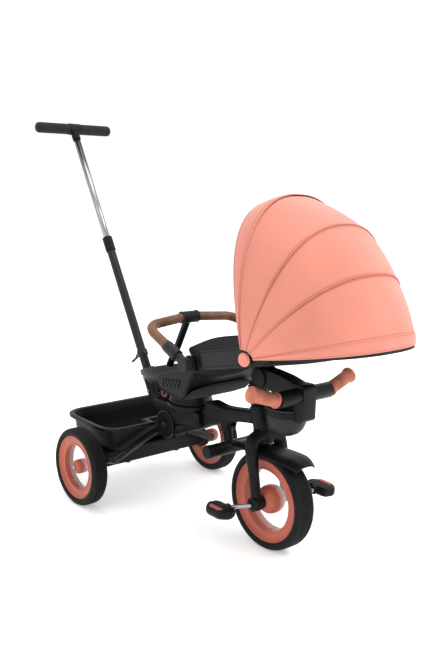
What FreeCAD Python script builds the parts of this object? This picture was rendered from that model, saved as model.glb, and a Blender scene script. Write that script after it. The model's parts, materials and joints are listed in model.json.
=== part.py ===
"""A children's push-along tricycle with a turning, reclining seat and a folding canopy.

Millimetres, +Z up, +X forward, +Y to the rider's left. The origin is on the ground in the
middle of the outline; sizes in the sheet are measured from the ground point under the rear
axle, which lies axle_back behind the origin. At rest the seat faces the rear and is
reclined, the handlebar is folded forward and the push handle is pulled out.
"""

import FreeCAD, Part
import math
import os
import re

from FreeCAD import Placement, Rotation, Vector

SIZES = {
    # the whole
    "axle_back": 210.6,
    "wheelbase": 518,
    "run_gap": 0.05,
    "clear_gap": 0.4,
    # rear wheels and axle
    "rear_tyre_radius": 108,
    "rear_tyre_width": 46,
    "rear_rim_radius": 88,
    "rear_rim_inner": 64,
    "rear_rim_width": 38,
    "rear_hub_radius": 20,
    "rear_hub_half": 20,
    "track_half": 234,
    "axle_radius": 5,
    "web_thick": 3,
    "tyre_round": 9,
    # rear axle beam and brakes
    "beam_half_depth": 30,
    "beam_half_length": 185,
    "beam_low": 97,
    "beam_top": 145,
    "drum_radius": 26,
    "brake_pivot_x": -38,
    "brake_pivot_z": 118,
    "brake_reach": 60,
    "brake_inner": 144,
    "brake_outer": 180,
    # storage bin
    "bin_back": -165,
    "bin_front": 62,
    "bin_half": 180,
    "bin_floor": 146.5,
    "bin_rim": 218,
    "bin_lip": 13,
    "bin_wall": 4,
    "bin_corner": 45,
    "notch_half": 46,
    "notch_back": 26,
    # fold hinge of the frame
    "fold_x": 121,
    "fold_z": 223,
    "lug_half": 17.6,
    "lug_radius": 30,
    "cheek_inner": 18.4,
    "cheek_outer": 32,
    "cheek_radius": 36,
    "fold_pin_radius": 6,
    "cover_thick": 6,
    "cross_x": 80,
    "cross_z": 196,
    "cross_radius": 11,
    "strut_radius": 10,
    # main beam and head
    "deck_z": 286,
    "rake_deg": 15.4,
    "head_x": 484,
    "head_z": 267,
    "head_radius": 22,
    "head_bore": 16,
    "head_from": 24,
    "head_to": 88,
    "steerer_radius": 13,
    # push handle
    "lean_deg": 30.6,
    "push_x": 33,
    "push_z": 267,
    "socket_radius": 19,
    "socket_top": 97,
    "tube_radius": 12.8,
    "tube_bore": 10.4,
    "tube_top": 476,
    "collar_top": 520,
    "collar_radius": 15,
    "upper_radius": 10,
    "upper_from": 390,
    "handle_at": 895,
    "handle_radius": 16,
    "handle_half": 128.5,
    # seat
    "swivel_x": 190,
    "swivel_radius": 64,
    "turntable_radius": 58,
    "turntable_top": 333,
    "knob_x": 102,
    "knob_z": 309.5,
    "knob_radius": 20,
    "pan_wall": 5,
    "pan_end": 330,
    "pan_half": 138,
    "hub_x": 359,
    "hub_z": 457,
    "hub_radius": 20,
    "hub_pin_radius": 6,
    "bracket_inner": 138,
    "bracket_outer": 145,
    # backrest
    "recline_deg": 13.65,
    "back_half": 135,
    "back_from": 14,
    "back_to": 424,
    "back_low": -22,
    "back_high": 34,
    "back_wall": 5,
    # guard rail
    "rail_half": 152,
    "rail_radius": 12.5,
    "rail_socket_radius": 15.5,
    "rail_reach": 198,
    "rail_bend": 46,
    "rail_rise_deg": 157.5,
    # canopy
    "canopy_x": 620,
    "canopy_z": 522,
    "hoop_thick": 2.4,
    "hoop_width": 8,
    "hoop_first": 190,
    "hoop_step": 3.2,
    "fabric_thick": 1.2,
    "panel_gap": 3.2,
    "dome_power": 2.35,
    # front wheel, cranks and fork
    "front_tyre_radius": 125,
    "front_tyre_width": 58,
    "front_rim_radius": 105,
    "front_rim_inner": 80,
    "front_rim_width": 48,
    "front_hub_radius": 36,
    "front_hub_half": 31,
    "crank_radius": 5.5,
    "crank_back": 54,
    "crank_drop": 18,
    "crank_shoulder": 72,
    "pedal_inner": 94,
    "pedal_length": 52,
    "pedal_width": 84,
    "pedal_height": 26,
    "blade_half": 50,
    "blade_radius": 13,
    "boss_radius": 17,
    "crown_low": 261,
    "crown_high": 293,
    # handlebar
    "drum_x": 480,
    "drum_z": 430,
    "drum_cheek_radius": 24,
    "knuckle_half": 10.6,
    "drum_half": 25,
    "drum_pin_radius": 5,
    "bar_x": 612,
    "bar_z": 413,
    "bar_radius": 10,
    "bar_bend": 87,
    "bar_tip": 163,
    "bar_rise": 25,
    "grip_radius": 16,
    "sleeve_radius": 19,
    "pod_x": 560,
    "pod_z": 352,
    "pod_radius": 48,
    "pod_wall": 3,
    # footrest
    "foot_pivot_x": 350,
    "foot_pivot_z": 266,
    "foot_bar_x": 358,
    "foot_bar_z": 216,
    "foot_bar_half": 80,
    "foot_bar_radius": 17,
}

ALONG_Y = Rotation(Vector(1, 0, 0), -90)
SIDES = ((-1, "right"), (1, "left"))

doc = FreeCAD.newDocument("tricycle")
sheet = doc.addObject("Spreadsheet::Sheet", "Dims")
for row, (alias, number) in enumerate(SIZES.items(), start=1):
    sheet.set(f"A{row}", alias)
    sheet.set(f"B{row}", str(number))
    sheet.setAlias(f"B{row}", alias)
doc.recompute()

nodes = []


class Sheet:
    """Reads a size from the sheet by its alias."""

    def __getattr__(self, alias):
        return float(sheet.get(alias))


size = Sheet()


def bound(text):
    """The expression with each alias in it written as a cell of the sheet."""
    return re.sub(r"[a-z][a-z_]+", lambda found: "Dims." + found.group(0), text)


def put(kind, at=("0", "0", "0"), turn=None, **sizes):
    """A Part primitive whose sizes and position are expressions on the sheet."""
    made = doc.addObject("Part::" + kind, kind)
    for prop, text in sizes.items():
        made.setExpression(prop, bound(text))
    if turn is not None:
        made.Placement.Rotation = turn
    for letter, text in zip("xyz", at):
        made.setExpression("Placement.Base." + letter, bound(text))
    return made


def cut(base, tool):
    made = doc.addObject("Part::Cut", "Cut")
    made.Base = base
    made.Tool = tool
    return made


def join(*parts):
    made = doc.addObject("Part::MultiFuse", "Fuse")
    made.Shapes = list(parts)
    return made


def rounded(base, radius, wanted):
    """Rounds the edges of base for which wanted(edge) holds."""
    doc.recompute()
    made = doc.addObject("Part::Fillet", "Fillet")
    made.Base = base
    edges = enumerate(base.Shape.Edges, start=1)
    made.Edges = [(index, radius, radius) for index, edge in edges if wanted(edge)]
    return made


def keep(label, made):
    """Names a finished sub-part and moves it from the rear axle's frame to the row's."""
    made.Label = label
    made.setExpression("Placement.Base.x", "-Dims.axle_back")
    nodes.append(made)


def keep_shape(label, shape):
    """A sub-part whose shape is made with Part's own functions."""
    made = doc.addObject("Part::Feature", "Feature")
    made.Shape = shape
    made.Placement = Placement(Vector(-size.axle_back, 0, 0), Rotation()) * shape.Placement
    made.Label = label
    nodes.append(made)


def disc(radius, x, z, y_from, y_to):
    """A cylinder along Y."""
    return Part.makeCylinder(radius, y_to - y_from, Vector(x, y_from, z), Vector(0, 1, 0))


def rod(start, end, radius):
    start, end = Vector(*start), Vector(*end)
    return Part.makeCylinder(radius, start.distanceToPoint(end), start, end - start)


def bent_rod(points, radius):
    """Round bar through the points, with a ball at each bend and plain ends."""
    shape = rod(points[0], points[1], radius)
    for here, there in zip(points[1:], points[2:]):
        shape = shape.fuse([Part.makeSphere(radius, Vector(*here)), rod(here, there, radius)])
    return shape.removeSplitter()


def curved_rod(points, radius, bend):
    """Round bar through the points, turning each inner corner on a round of the bend radius."""
    points = [Vector(*point) for point in points]
    start = points[0]
    pieces = []
    for before, here, after in zip(points, points[1:], points[2:]):
        back = (before - here).normalize()
        ahead = (after - here).normalize()
        half = back.getAngle(ahead) / 2
        reach = bend / math.tan(half)
        first = here + back * reach
        centre = here + (back + ahead).normalize() * (bend / math.sin(half))
        face = Part.Face(Part.Wire(Part.makeCircle(radius, first, back)))
        pieces.append(rod(start, first, radius))
        pieces.append(face.revolve(centre, ahead.cross(back), 180 - 2 * math.degrees(half)))
        start = here + ahead * reach
    pieces.append(rod(start, points[-1], radius))
    return pieces[0].fuse(pieces[1:]).removeSplitter()


def plate(outline, y_from, y_to):
    """A flat plate with an outline in X and Z, from y_from to y_to."""
    corners = [Vector(x, y_from, z) for x, z in outline]
    face = Part.Face(Part.makePolygon(corners + corners[:1]))
    return face.extrude(Vector(0, y_to - y_from, 0))


def both_sides(make):
    """The two mirrored copies of make(side), fused."""
    return make(1).fuse(make(-1))


def mirrored_plate(outline, inner, outer):
    return plate(outline, inner, outer).fuse(plate(outline, -outer, -inner))


def mirrored_disc(radius, x, z, inner, outer):
    return disc(radius, x, z, inner, outer).fuse(disc(radius, x, z, -outer, -inner))


def rounded_box(low, high, radius, direction=Vector(0, 0, 1)):
    """A box whose edges along one direction are rounded."""
    span = [b - a for a, b in zip(low, high)]
    box = Part.makeBox(*span, Vector(*low))
    along = [edge for edge in box.Edges if abs(edge.tangentAt(0).dot(direction)) > 0.99]
    return box.makeFillet(radius, along)


def polar(x, z, degrees, reach):
    """The point at reach from (x, z), at an angle from +X towards +Z."""
    angle = math.radians(degrees)
    return x + reach * math.cos(angle), z + reach * math.sin(angle)


def on_push_line(along, out=0):
    """A point on the push handle's axis, or out behind it by out."""
    lean = math.radians(size.lean_deg)
    x = size.push_x - along * math.sin(lean) - out * math.cos(lean)
    z = size.push_z + along * math.cos(lean) - out * math.sin(lean)
    return x, 0, z


def on_head_line(along):
    rake = math.radians(size.rake_deg)
    return size.head_x - along * math.sin(rake), 0, size.head_z + along * math.cos(rake)


# ---------------------------------------------------------------- wheels


def ring(outer, inner, width, x, y, z):
    """A ring about an axis along Y, centred on (x, y, z), bound to the sheet."""
    at = (x, f"{y} - ({width}) / 2", z)
    body = put("Cylinder", at, ALONG_Y, Radius=outer, Height=width)
    hole = put("Cylinder", at, ALONG_Y, Radius=inner, Height=width)
    return cut(body, hole)


def is_circle_of(radius):
    """True for the round edges of one radius."""

    def wanted(edge):
        return hasattr(edge.Curve, "Radius") and abs(edge.Curve.Radius - radius) < 0.01

    return wanted


def rear_wheels():
    for side, word in SIDES:
        y = f"{side} * track_half"
        spot = ("0", y, "rear_tyre_radius")
        tyre = ring("rear_tyre_radius", "rear_rim_radius", "rear_tyre_width", *spot)
        keep(f"rear_tyre_{word}", rounded(tyre, size.tyre_round, is_circle_of(size.rear_tyre_radius)))
        rim = ring("rear_rim_radius", "rear_rim_inner", "rear_rim_width", *spot)
        web = ring("rear_rim_inner", "rear_hub_radius", "web_thick", *spot)
        hub = ring("rear_hub_radius", "axle_radius + run_gap", "rear_hub_half * 2", *spot)
        keep(f"rear_wheel_{word}", join(rim, web, hub))


def front_wheel():
    spot = ("wheelbase", "0", "front_tyre_radius")
    tyre = ring("front_tyre_radius", "front_rim_radius", "front_tyre_width", *spot)
    keep("front_tyre", rounded(tyre, size.tyre_round, is_circle_of(size.front_tyre_radius)))
    rim = ring("front_rim_radius", "front_rim_inner", "front_rim_width", *spot)
    web = ring("front_rim_inner", "front_hub_radius", "web_thick", *spot)
    keep("front_rim", join(rim, web))
    hub = ring("front_hub_radius", "crank_radius", "front_hub_half * 2", *spot)
    keep("front_hub", rounded(hub, 12, is_circle_of(size.front_hub_radius)))


def cranks_and_pedals():
    x, z = size.wheelbase, size.front_tyre_radius
    turn_y = size.pedal_inner - 4
    tip_y = size.pedal_inner + size.pedal_length - 2
    right = [(x - size.crank_back, -y, z - size.crank_drop) for y in (tip_y, turn_y)]
    left = [(x + size.crank_back, y, z + size.crank_drop) for y in (turn_y, tip_y)]
    middle = [(x, -size.crank_shoulder, z), (x, size.crank_shoulder, z)]
    keep_shape("crank_axle", bent_rod(right + middle + left, size.crank_radius))
    for side, word in SIDES:
        low_y = "pedal_inner" if side > 0 else "-pedal_inner - pedal_length"
        bore_y = "pedal_inner - 1" if side > 0 else "-pedal_inner - pedal_length + 1"
        px = f"wheelbase + {side} * crank_back"
        pz = f"front_tyre_radius + {side} * crank_drop"
        block = put(
            "Box",
            (f"{px} - pedal_width / 2", low_y, f"{pz} - pedal_height / 2"),
            Length="pedal_width",
            Width="pedal_length",
            Height="pedal_height",
        )
        bore = put("Cylinder", (px, bore_y, pz), ALONG_Y, Radius="crank_radius + run_gap", Height="pedal_length")
        drilled = cut(block, bore)
        keep(f"pedal_{word}", rounded(drilled, 8, is_pedal_edge(side)))


def is_pedal_edge(side):
    """Picks the block's four long outer edges, and not the bore's."""
    def wanted(edge):
        box = edge.BoundBox
        straight = not hasattr(edge.Curve, "Radius") and box.XLength < 0.1 and box.ZLength < 0.1
        whole = abs(box.YLength - size.pedal_length) < 0.5
        outer = abs(box.Center.z - pedal_z(side)) > size.pedal_height / 3
        return straight and whole and outer
    return wanted


def pedal_z(side):
    return size.front_tyre_radius + side * size.crank_drop


# ---------------------------------------------------------------- rear frame


def axle_beam():
    half, length = size.beam_half_depth, size.beam_half_length
    axle_z = size.rear_tyre_radius
    shape = rounded_box(
        (-half, -length, size.beam_low), (half, length, size.beam_top), 8, Vector(0, 1, 0)
    )
    drum_end = size.track_half - size.rear_tyre_width / 2 - 5
    shape = shape.fuse(mirrored_disc(size.drum_radius, 0, axle_z, length - 1, drum_end))
    for y in (-85, 90):
        shape = shape.fuse(Part.makeCylinder(8, 8, Vector(10, y, size.beam_low - 6)))
    ear = [
        (size.brake_pivot_x - 7, size.brake_pivot_z - 8),
        (-half + 2, size.brake_pivot_z - 8),
        (-half + 2, size.brake_pivot_z + 8),
        (size.brake_pivot_x - 7, size.brake_pivot_z + 8),
    ]
    inner = size.brake_inner - size.clear_gap
    ears = mirrored_plate(ear, inner - 6, inner)
    pivot = mirrored_disc(2.5 + size.run_gap, size.brake_pivot_x, size.brake_pivot_z, inner - 7, inner + 1)
    shape = shape.fuse(ears.cut(pivot))
    shape = shape.cut(disc(size.axle_radius, 0, axle_z, -drum_end - 1, drum_end + 1)).removeSplitter()
    keep_shape("axle_beam", shape)
    return shape


def rear_axle():
    """The rod through both rear wheels, with a cap on each end."""
    end = size.track_half + size.rear_hub_half + size.clear_gap
    rod_part = disc(size.axle_radius, 0, size.rear_tyre_radius, -end, end)
    caps = mirrored_disc(9, 0, size.rear_tyre_radius, end, end + 2.5)
    keep_shape("rear_axle", rod_part.fuse(caps).removeSplitter())


def brake_levers():
    x, z = size.brake_pivot_x, size.brake_pivot_z
    outline = [(x, z + 6), (x - size.brake_reach, z + 13), (x - size.brake_reach, z + 6), (x, z - 6)]
    for side, word in SIDES:
        low, high = sorted((side * size.brake_inner, side * size.brake_outer))
        inner, root = side * size.brake_inner, side * (size.brake_inner - 6)
        pin = disc(2.5, x, z, *sorted((root, inner)))
        lever = plate(outline, low, high).fuse([disc(6, x, z, low, high), pin])
        keep_shape(f"brake_lever_{word}", lever.removeSplitter())


def storage_bin():
    wall, lip = size.bin_wall, size.bin_lip
    back, front, half = size.bin_back, size.bin_front, size.bin_half
    floor, rim = size.bin_floor, size.bin_rim
    outer = rounded_box((back, -half, floor), (front, half, rim), size.bin_corner)
    brim = rounded_box(
        (back - lip, -half - lip, rim - wall), (front + lip, half + lip, rim), size.bin_corner + lip
    )
    hollow = rounded_box(
        (back + wall, -half + wall, floor + wall),
        (front - wall, half - wall, rim + 10),
        size.bin_corner - wall,
    )
    notch_reach = front + lip + 10 - size.notch_back
    kept_wall = Part.makeBox(
        notch_reach, 2 * (size.notch_half + wall), 120,
        Vector(size.notch_back - wall, -size.notch_half - wall, floor - 10),
    )
    notch = Part.makeBox(
        notch_reach, 2 * size.notch_half, 120, Vector(size.notch_back, -size.notch_half, floor - 10)
    )
    shape = outer.fuse(brim).cut(hollow.cut(kept_wall)).cut(notch)
    keep_shape("storage_bin", shape.removeSplitter())


def fold_lug():
    x, z = size.fold_x, size.fold_z
    half = size.lug_half
    cross = disc(size.cross_radius, size.cross_x, size.cross_z, -half - 14, half + 14)
    web = plate(
        [
            (x - 25, z + 15),
            (x + 12, z - 27),
            (size.cross_x + 6, size.cross_z - 9),
            (size.cross_x - 6, size.cross_z + 9),
        ],
        -half,
        half,
    )
    shape = disc(size.lug_radius, x, z, -half, half).fuse([web, cross])
    shape = shape.cut(disc(size.fold_pin_radius + size.run_gap, x, z, -half - 1, half + 1))
    keep_shape("fold_lug", shape.removeSplitter())
    return cross


def rear_struts(cross, beam):
    x, z = size.cross_x, size.cross_z

    def strut(side):
        points = [
            (size.beam_half_depth, side * 178, 122),
            (x - 4, side * 172, 134),
            (x, side * 34, z),
        ]
        return bent_rod(points, size.strut_radius).cut(cross)

    keep_shape("rear_struts", both_sides(strut).cut(beam))


# ---------------------------------------------------------------- main frame


def fold_housing():
    x, z = size.fold_x, size.fold_z
    deck = size.deck_z
    outline = [(x - 33, z + 27), (x - 29, deck), (262, deck), (268, 246), (x + 19, z - 30)]
    cheeks = mirrored_plate(outline, size.cheek_inner, size.cheek_outer)
    rounds = mirrored_disc(size.cheek_radius, x, z, size.cheek_inner, size.cheek_outer)
    bridge = plate(
        [(60, z + 34), (60, deck), (160, deck), (160, z + 34)], -size.cheek_outer, size.cheek_outer
    )
    shape = cheeks.fuse([rounds, bridge])
    shape = shape.cut(disc(size.fold_pin_radius, x, z, -size.cheek_outer - 1, size.cheek_outer + 1))
    keep_shape("fold_housing", shape.removeSplitter())


def fold_pin():
    """The hinge pin with the two round covers that close it."""
    x, z = size.fold_x, size.fold_z
    out = size.cheek_outer
    covers = mirrored_disc(size.cheek_radius, x, z, out, out + size.cover_thick)
    keep_shape("fold_pin", covers.fuse(disc(size.fold_pin_radius, x, z, -out, out)).removeSplitter())


def main_beam():
    half = size.cheek_inner
    deck = size.deck_z
    outline = [
        (160, 212), (160, deck), (262, deck), (275, 322), (300, 327), (345, 323),
        (392, 328), (450, 338), (470, 338), (474, 306), (452, 306), (394, 295), (295, 259), (200, 217),
    ]
    beam = plate(outline, -half, half)
    edges = [edge for edge in beam.Edges if edge.BoundBox.YLength < 0.1 and edge.BoundBox.Center.x > 262]
    beam = beam.makeFillet(6, edges)
    pivot_x, pivot_z = size.foot_pivot_x, size.foot_pivot_z
    ears = mirrored_plate(
        [(pivot_x - 14, 290), (pivot_x - 10, pivot_z - 9), (pivot_x + 10, pivot_z - 9), (pivot_x + 14, 290)],
        14 + size.clear_gap,
        half,
    )
    head = rod(on_head_line(size.head_from), on_head_line(size.head_to), size.head_radius)
    bore = rod(on_head_line(0), on_head_line(size.head_to + 20), size.head_bore)
    pin_bore = disc(4 + size.run_gap, pivot_x, pivot_z, -half - 1, half + 1)
    shape = beam.fuse([ears, head]).cut(bore).cut(pin_bore)
    keep_shape("main_beam", shape.removeSplitter())


def head_bushes():
    rings = []
    for start in (size.head_from, size.head_to - 16):
        ends = on_head_line(start), on_head_line(start + 16)
        rings.append(rod(*ends, size.head_bore).cut(rod(*ends, size.steerer_radius + size.run_gap)))
    keep_shape("head_bushes", rings[0].fuse(rings[1]))


def swivel_base():
    base = put("Cylinder", ("swivel_x", "0", "deck_z"), None, Radius="swivel_radius", Height="14")
    bore = put("Cylinder", ("swivel_x", "0", "deck_z"), None, Radius="14 + run_gap", Height="14")
    keep("swivel_base", cut(base, bore))


def swivel_knob():
    """The seat lock's round knob, turning on a spindle through the push socket's arm."""
    knob = put("Cylinder", ("knob_x", "-27", "knob_z"), ALONG_Y, Radius="knob_radius", Height="17.6")
    spindle = put("Cylinder", ("knob_x", "-10", "knob_z"), ALONG_Y, Radius="5", Height="21")
    end = put("Cylinder", ("knob_x", "9.4", "knob_z"), ALONG_Y, Radius="8", Height="3")
    keep("swivel_knob", join(knob, spindle, end))


def push_socket():
    top = on_push_line(size.socket_top)
    socket = rod(on_push_line(-8), top, size.socket_radius)
    collar = rod(on_push_line(size.socket_top - 12), top, size.socket_radius + 3)
    neck = plate([(20, 268), (50, 244), (62, 257), (62, 286), (30, 292)], -14, 14)
    gusset = plate(
        [(4, 331), (84, 325), (108, 322), (118, 306), (118, size.deck_z), (60, size.deck_z), (30, 275)], -9, 9
    )
    window = plate([(34, 316), (72, 313), (80, 300), (50, 297)], -10, 10)
    knob_bore = disc(5 + size.run_gap, size.knob_x, size.knob_z, -10, 10)
    bore = rod(on_push_line(12), on_push_line(size.socket_top + 5), size.tube_radius)
    foot = Part.makeBox(40, 80, 60, Vector(60, -40, 227))
    shape = socket.fuse([collar, neck.cut(foot), gusset.cut(window)]).cut(bore).cut(knob_bore)
    keep_shape("push_socket", shape.removeSplitter())


def lower_tube():
    start, end = on_push_line(12), on_push_line(size.tube_top)
    tube = rod(start, end, size.tube_radius)
    band = rod(on_push_line(138), on_push_line(154), size.tube_radius + 3)
    bore = rod(on_push_line(14), on_push_line(size.tube_top + 1), size.tube_bore)
    keep_shape("lower_tube", tube.fuse(band).cut(bore).removeSplitter())


def telescope_collar():
    start, end = on_push_line(size.tube_top), on_push_line(size.collar_top)
    body = rod(start, end, size.collar_radius)
    bore = rod(start, end, size.upper_radius + size.run_gap)
    middle = (size.tube_top + size.collar_top) / 2
    pocket = rod(on_push_line(middle, 5), on_push_line(middle, 20), 5 + size.run_gap)
    keep_shape("telescope_collar", body.cut(bore).cut(pocket))
    button = rod(on_push_line(middle, 12.6), on_push_line(middle, 19), 5)
    keep_shape("height_button", button)


def release_lever():
    barrel = disc(5, *[on_push_line(146, 22)[i] for i in (0, 2)], -7, 7)
    arm = rod(on_push_line(146, 22), on_push_line(141, 62), 3.6)
    keep_shape("release_lever", barrel.fuse(arm).removeSplitter())


def push_handle():
    tube_end = size.handle_at - size.handle_radius - 3
    upper = rod(on_push_line(size.upper_from), on_push_line(tube_end), size.upper_radius)
    hollow = rod(on_push_line(size.upper_from), on_push_line(tube_end), size.upper_radius - 1.5)
    keep_shape("upper_tube", upper.cut(hollow))
    x, _, z = on_push_line(size.handle_at)
    half = size.handle_half
    foam = disc(size.handle_radius, x, z, -half, half)
    foam = foam.makeFillet(7, [e for e in foam.Edges if hasattr(e.Curve, "Radius")])
    core = disc(size.upper_radius - 1, x, z, -half + 4, half - 4)
    hub = disc(size.handle_radius + 1.5, x, z, -18, 18)
    stem = rod(on_push_line(tube_end - 18), on_push_line(size.handle_at), size.upper_radius + 2.5)
    tee = core.fuse([hub, stem]).cut(upper)
    keep_shape("handle_tee", tee.removeSplitter())
    keep_shape("handle_foam", foam.cut(tee))


def frame_screws():
    """Screw heads: one on each hinge cover and two across the push socket."""
    out = size.cheek_outer + size.cover_thick
    heads = mirrored_disc(6, size.fold_x, size.fold_z, out, out + 2)
    for along in (30, 70):
        x, _, z = on_push_line(along)
        heads = heads.fuse(mirrored_disc(5, x, z, size.socket_radius - 0.5, size.socket_radius + 2.5))
    socket = rod(on_push_line(0), on_push_line(size.socket_top), size.socket_radius)
    keep_shape("frame_screws", heads.cut(socket))


def footrest():
    x, z = size.foot_bar_x, size.foot_bar_z
    pivot = disc(8, size.foot_pivot_x, size.foot_pivot_z, -14, 14)
    pin = disc(4, size.foot_pivot_x, size.foot_pivot_z, -size.cheek_inner, size.cheek_inner)
    strut = rod((size.foot_pivot_x, 0, size.foot_pivot_z), (x, 0, z), 9)
    bar = disc(size.foot_bar_radius, x, z, -size.foot_bar_half, size.foot_bar_half)
    bar = bar.makeFillet(8, [e for e in bar.Edges if hasattr(e.Curve, "Radius")])
    keep_shape("footrest", pivot.fuse([pin, strut, bar]).removeSplitter())


# ---------------------------------------------------------------- steering


def steering():
    top = on_head_line(140)
    lock = rod(on_head_line(size.head_to + size.clear_gap), on_head_line(size.head_to + 12), 19)
    steerer = rod(on_head_line(8), top, size.steerer_radius)
    low, high = size.crown_low, size.crown_high
    above = rod(on_head_line(size.head_from - size.clear_gap), on_head_line(size.head_to), 80)
    crown = rounded_box((462, -54, low), (510, 54, high), 10, Vector(1, 0, 0)).cut(above)
    keep_shape("steerer", steerer.fuse(lock).cut(crown).removeSplitter())
    keep_shape("fork_crown", crown)
    axle = (size.wheelbase, size.front_tyre_radius)

    def blade(side):
        y = side * size.blade_half
        arm = rod((493, y, low + 8), (axle[0], y, axle[1]), size.blade_radius)
        ends = sorted((side * (size.blade_half - 15), side * (size.blade_half + 15)))
        boss = disc(size.boss_radius, *axle, *ends)
        bore = disc(size.crank_radius + size.run_gap, *axle, -80, 80)
        return arm.fuse(boss).cut(crown).cut(bore).removeSplitter()

    keep_shape("fork_blades", both_sides(blade))
    guard = [
        (391, 250), (425, 258), (470, 259), (560, 259), (600, 263), (632, 254),
        (632, 250), (600, 259), (560, 255), (470, 255), (426, 254), (392, 246),
    ]
    shape = plate(guard, -46, 46).cut(both_sides(blade))
    keep_shape("mudguard", shape)


def handlebar():
    x, z = size.drum_x, size.drum_z
    pin = disc(size.drum_pin_radius, x, z, -size.drum_half, size.drum_half)
    loose_pin = disc(size.drum_pin_radius + size.run_gap, x, z, -30, 30)
    clamp = rod(on_head_line(102), on_head_line(142), 19)
    outline = [(440, 372), (434, 405), (466, 448), (500, 414), (486, 390)]
    neck = plate(outline, -size.knuckle_half, size.knuckle_half)
    knuckle = disc(22, x, z, -size.knuckle_half, size.knuckle_half)
    steerer = rod(on_head_line(100), on_head_line(140), size.steerer_radius)
    stem = clamp.cut(disc(28, x, z, -40, 40)).fuse([neck, knuckle]).cut(steerer).cut(loose_pin)
    keep_shape("handlebar_stem", stem.removeSplitter())

    inner, outer = size.knuckle_half + size.clear_gap, size.drum_half
    cheeks = mirrored_disc(size.drum_cheek_radius, x, z, inner, outer)
    side = mirrored_plate([(x, z + 22), (514, 452), (514, 408), (x + 12, z - 20)], inner, 20)
    arm = plate([(512, 452), (560, 447), (600, 438), (600, 392), (545, 397), (512, 408)], -20, 20)
    bar_x, bar_z = size.bar_x, size.bar_z
    block = rounded_box((bar_x - 20, -21, 350), (bar_x + 21, 21, 439), 12, Vector(0, 1, 0))
    sleeves = disc(size.sleeve_radius, bar_x, bar_z, -size.bar_bend + 2, size.bar_bend - 2)
    tips = [(bar_x - 4, s * size.bar_tip, bar_z + size.bar_rise) for s in (-1, 1)]
    bends = [(bar_x, s * size.bar_bend, bar_z) for s in (-1, 1)]
    bar = bent_rod([tips[0], bends[0], bends[1], tips[1]], size.bar_radius)
    pod, bowl = pod_shapes()
    shape = cheeks.fuse([side, arm, block, sleeves, pin]).cut(bar).cut(bowl)
    keep_shape("handlebar_arm", shape.removeSplitter())
    keep_shape("handlebar_bar", bar)
    keep_shape("handlebar_pod", pod)

    def grip(side):
        start = Vector(bar_x, side * size.bar_bend, bar_z)
        end = Vector(bar_x - 4, side * size.bar_tip, bar_z + size.bar_rise)
        along = (end - start).normalize()
        start = start + along * 2
        end = end + along * 3
        body = rod(start, end, size.grip_radius)
        flange = rod(end - along * 8, end, size.grip_radius + 3.5)
        return body.fuse(flange).cut(bar).cut(sleeves).removeSplitter()

    keep_shape("handlebar_grips", both_sides(grip))


def pod_shapes():
    """The cup under the bar, and the solid that fills its outline."""
    spot = Vector(size.pod_x, 0, size.pod_z)
    ball = Part.makeSphere(size.pod_radius, spot)
    below = Part.makeBox(200, 200, 100, Vector(size.pod_x - 100, -100, size.pod_z - 100))
    drum = Part.makeCylinder(size.pod_radius, 20, spot)
    full = ball.common(below).fuse(drum).removeSplitter()
    inner = Part.makeSphere(size.pod_radius - size.pod_wall, spot).common(below)
    inner = inner.fuse(Part.makeCylinder(size.pod_radius - size.pod_wall, 21, spot))
    return full.cut(inner), full


# ---------------------------------------------------------------- seat


def pan_outline(inset):
    """Half widths of the seat pan along X, narrowing to a round lip."""
    points = [(30, 0), (36, 34), (62, 68), (110, 98), (180, 120), (250, 132), (size.pan_end, size.pan_half)]
    return [(x + inset * (1 - x / size.pan_end), max(0, w - inset * (w > 0))) for x, w in points]


def prism(half, z_from, z_to):
    """Extrudes the smooth closed outline whose half widths are given."""
    left = [Vector(x, w, z_from) for x, w in reversed(half)]
    right = [Vector(x, -w, z_from) for x, w in half[1:]]
    curve = Part.BSplineCurve()
    curve.interpolate(left + right)
    edge = curve.toShape()
    closing = Part.LineSegment(right[-1], left[0]).toShape()
    face = Part.Face(Part.Wire([edge, closing]))
    return face.extrude(Vector(0, 0, z_to - z_from))


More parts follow.
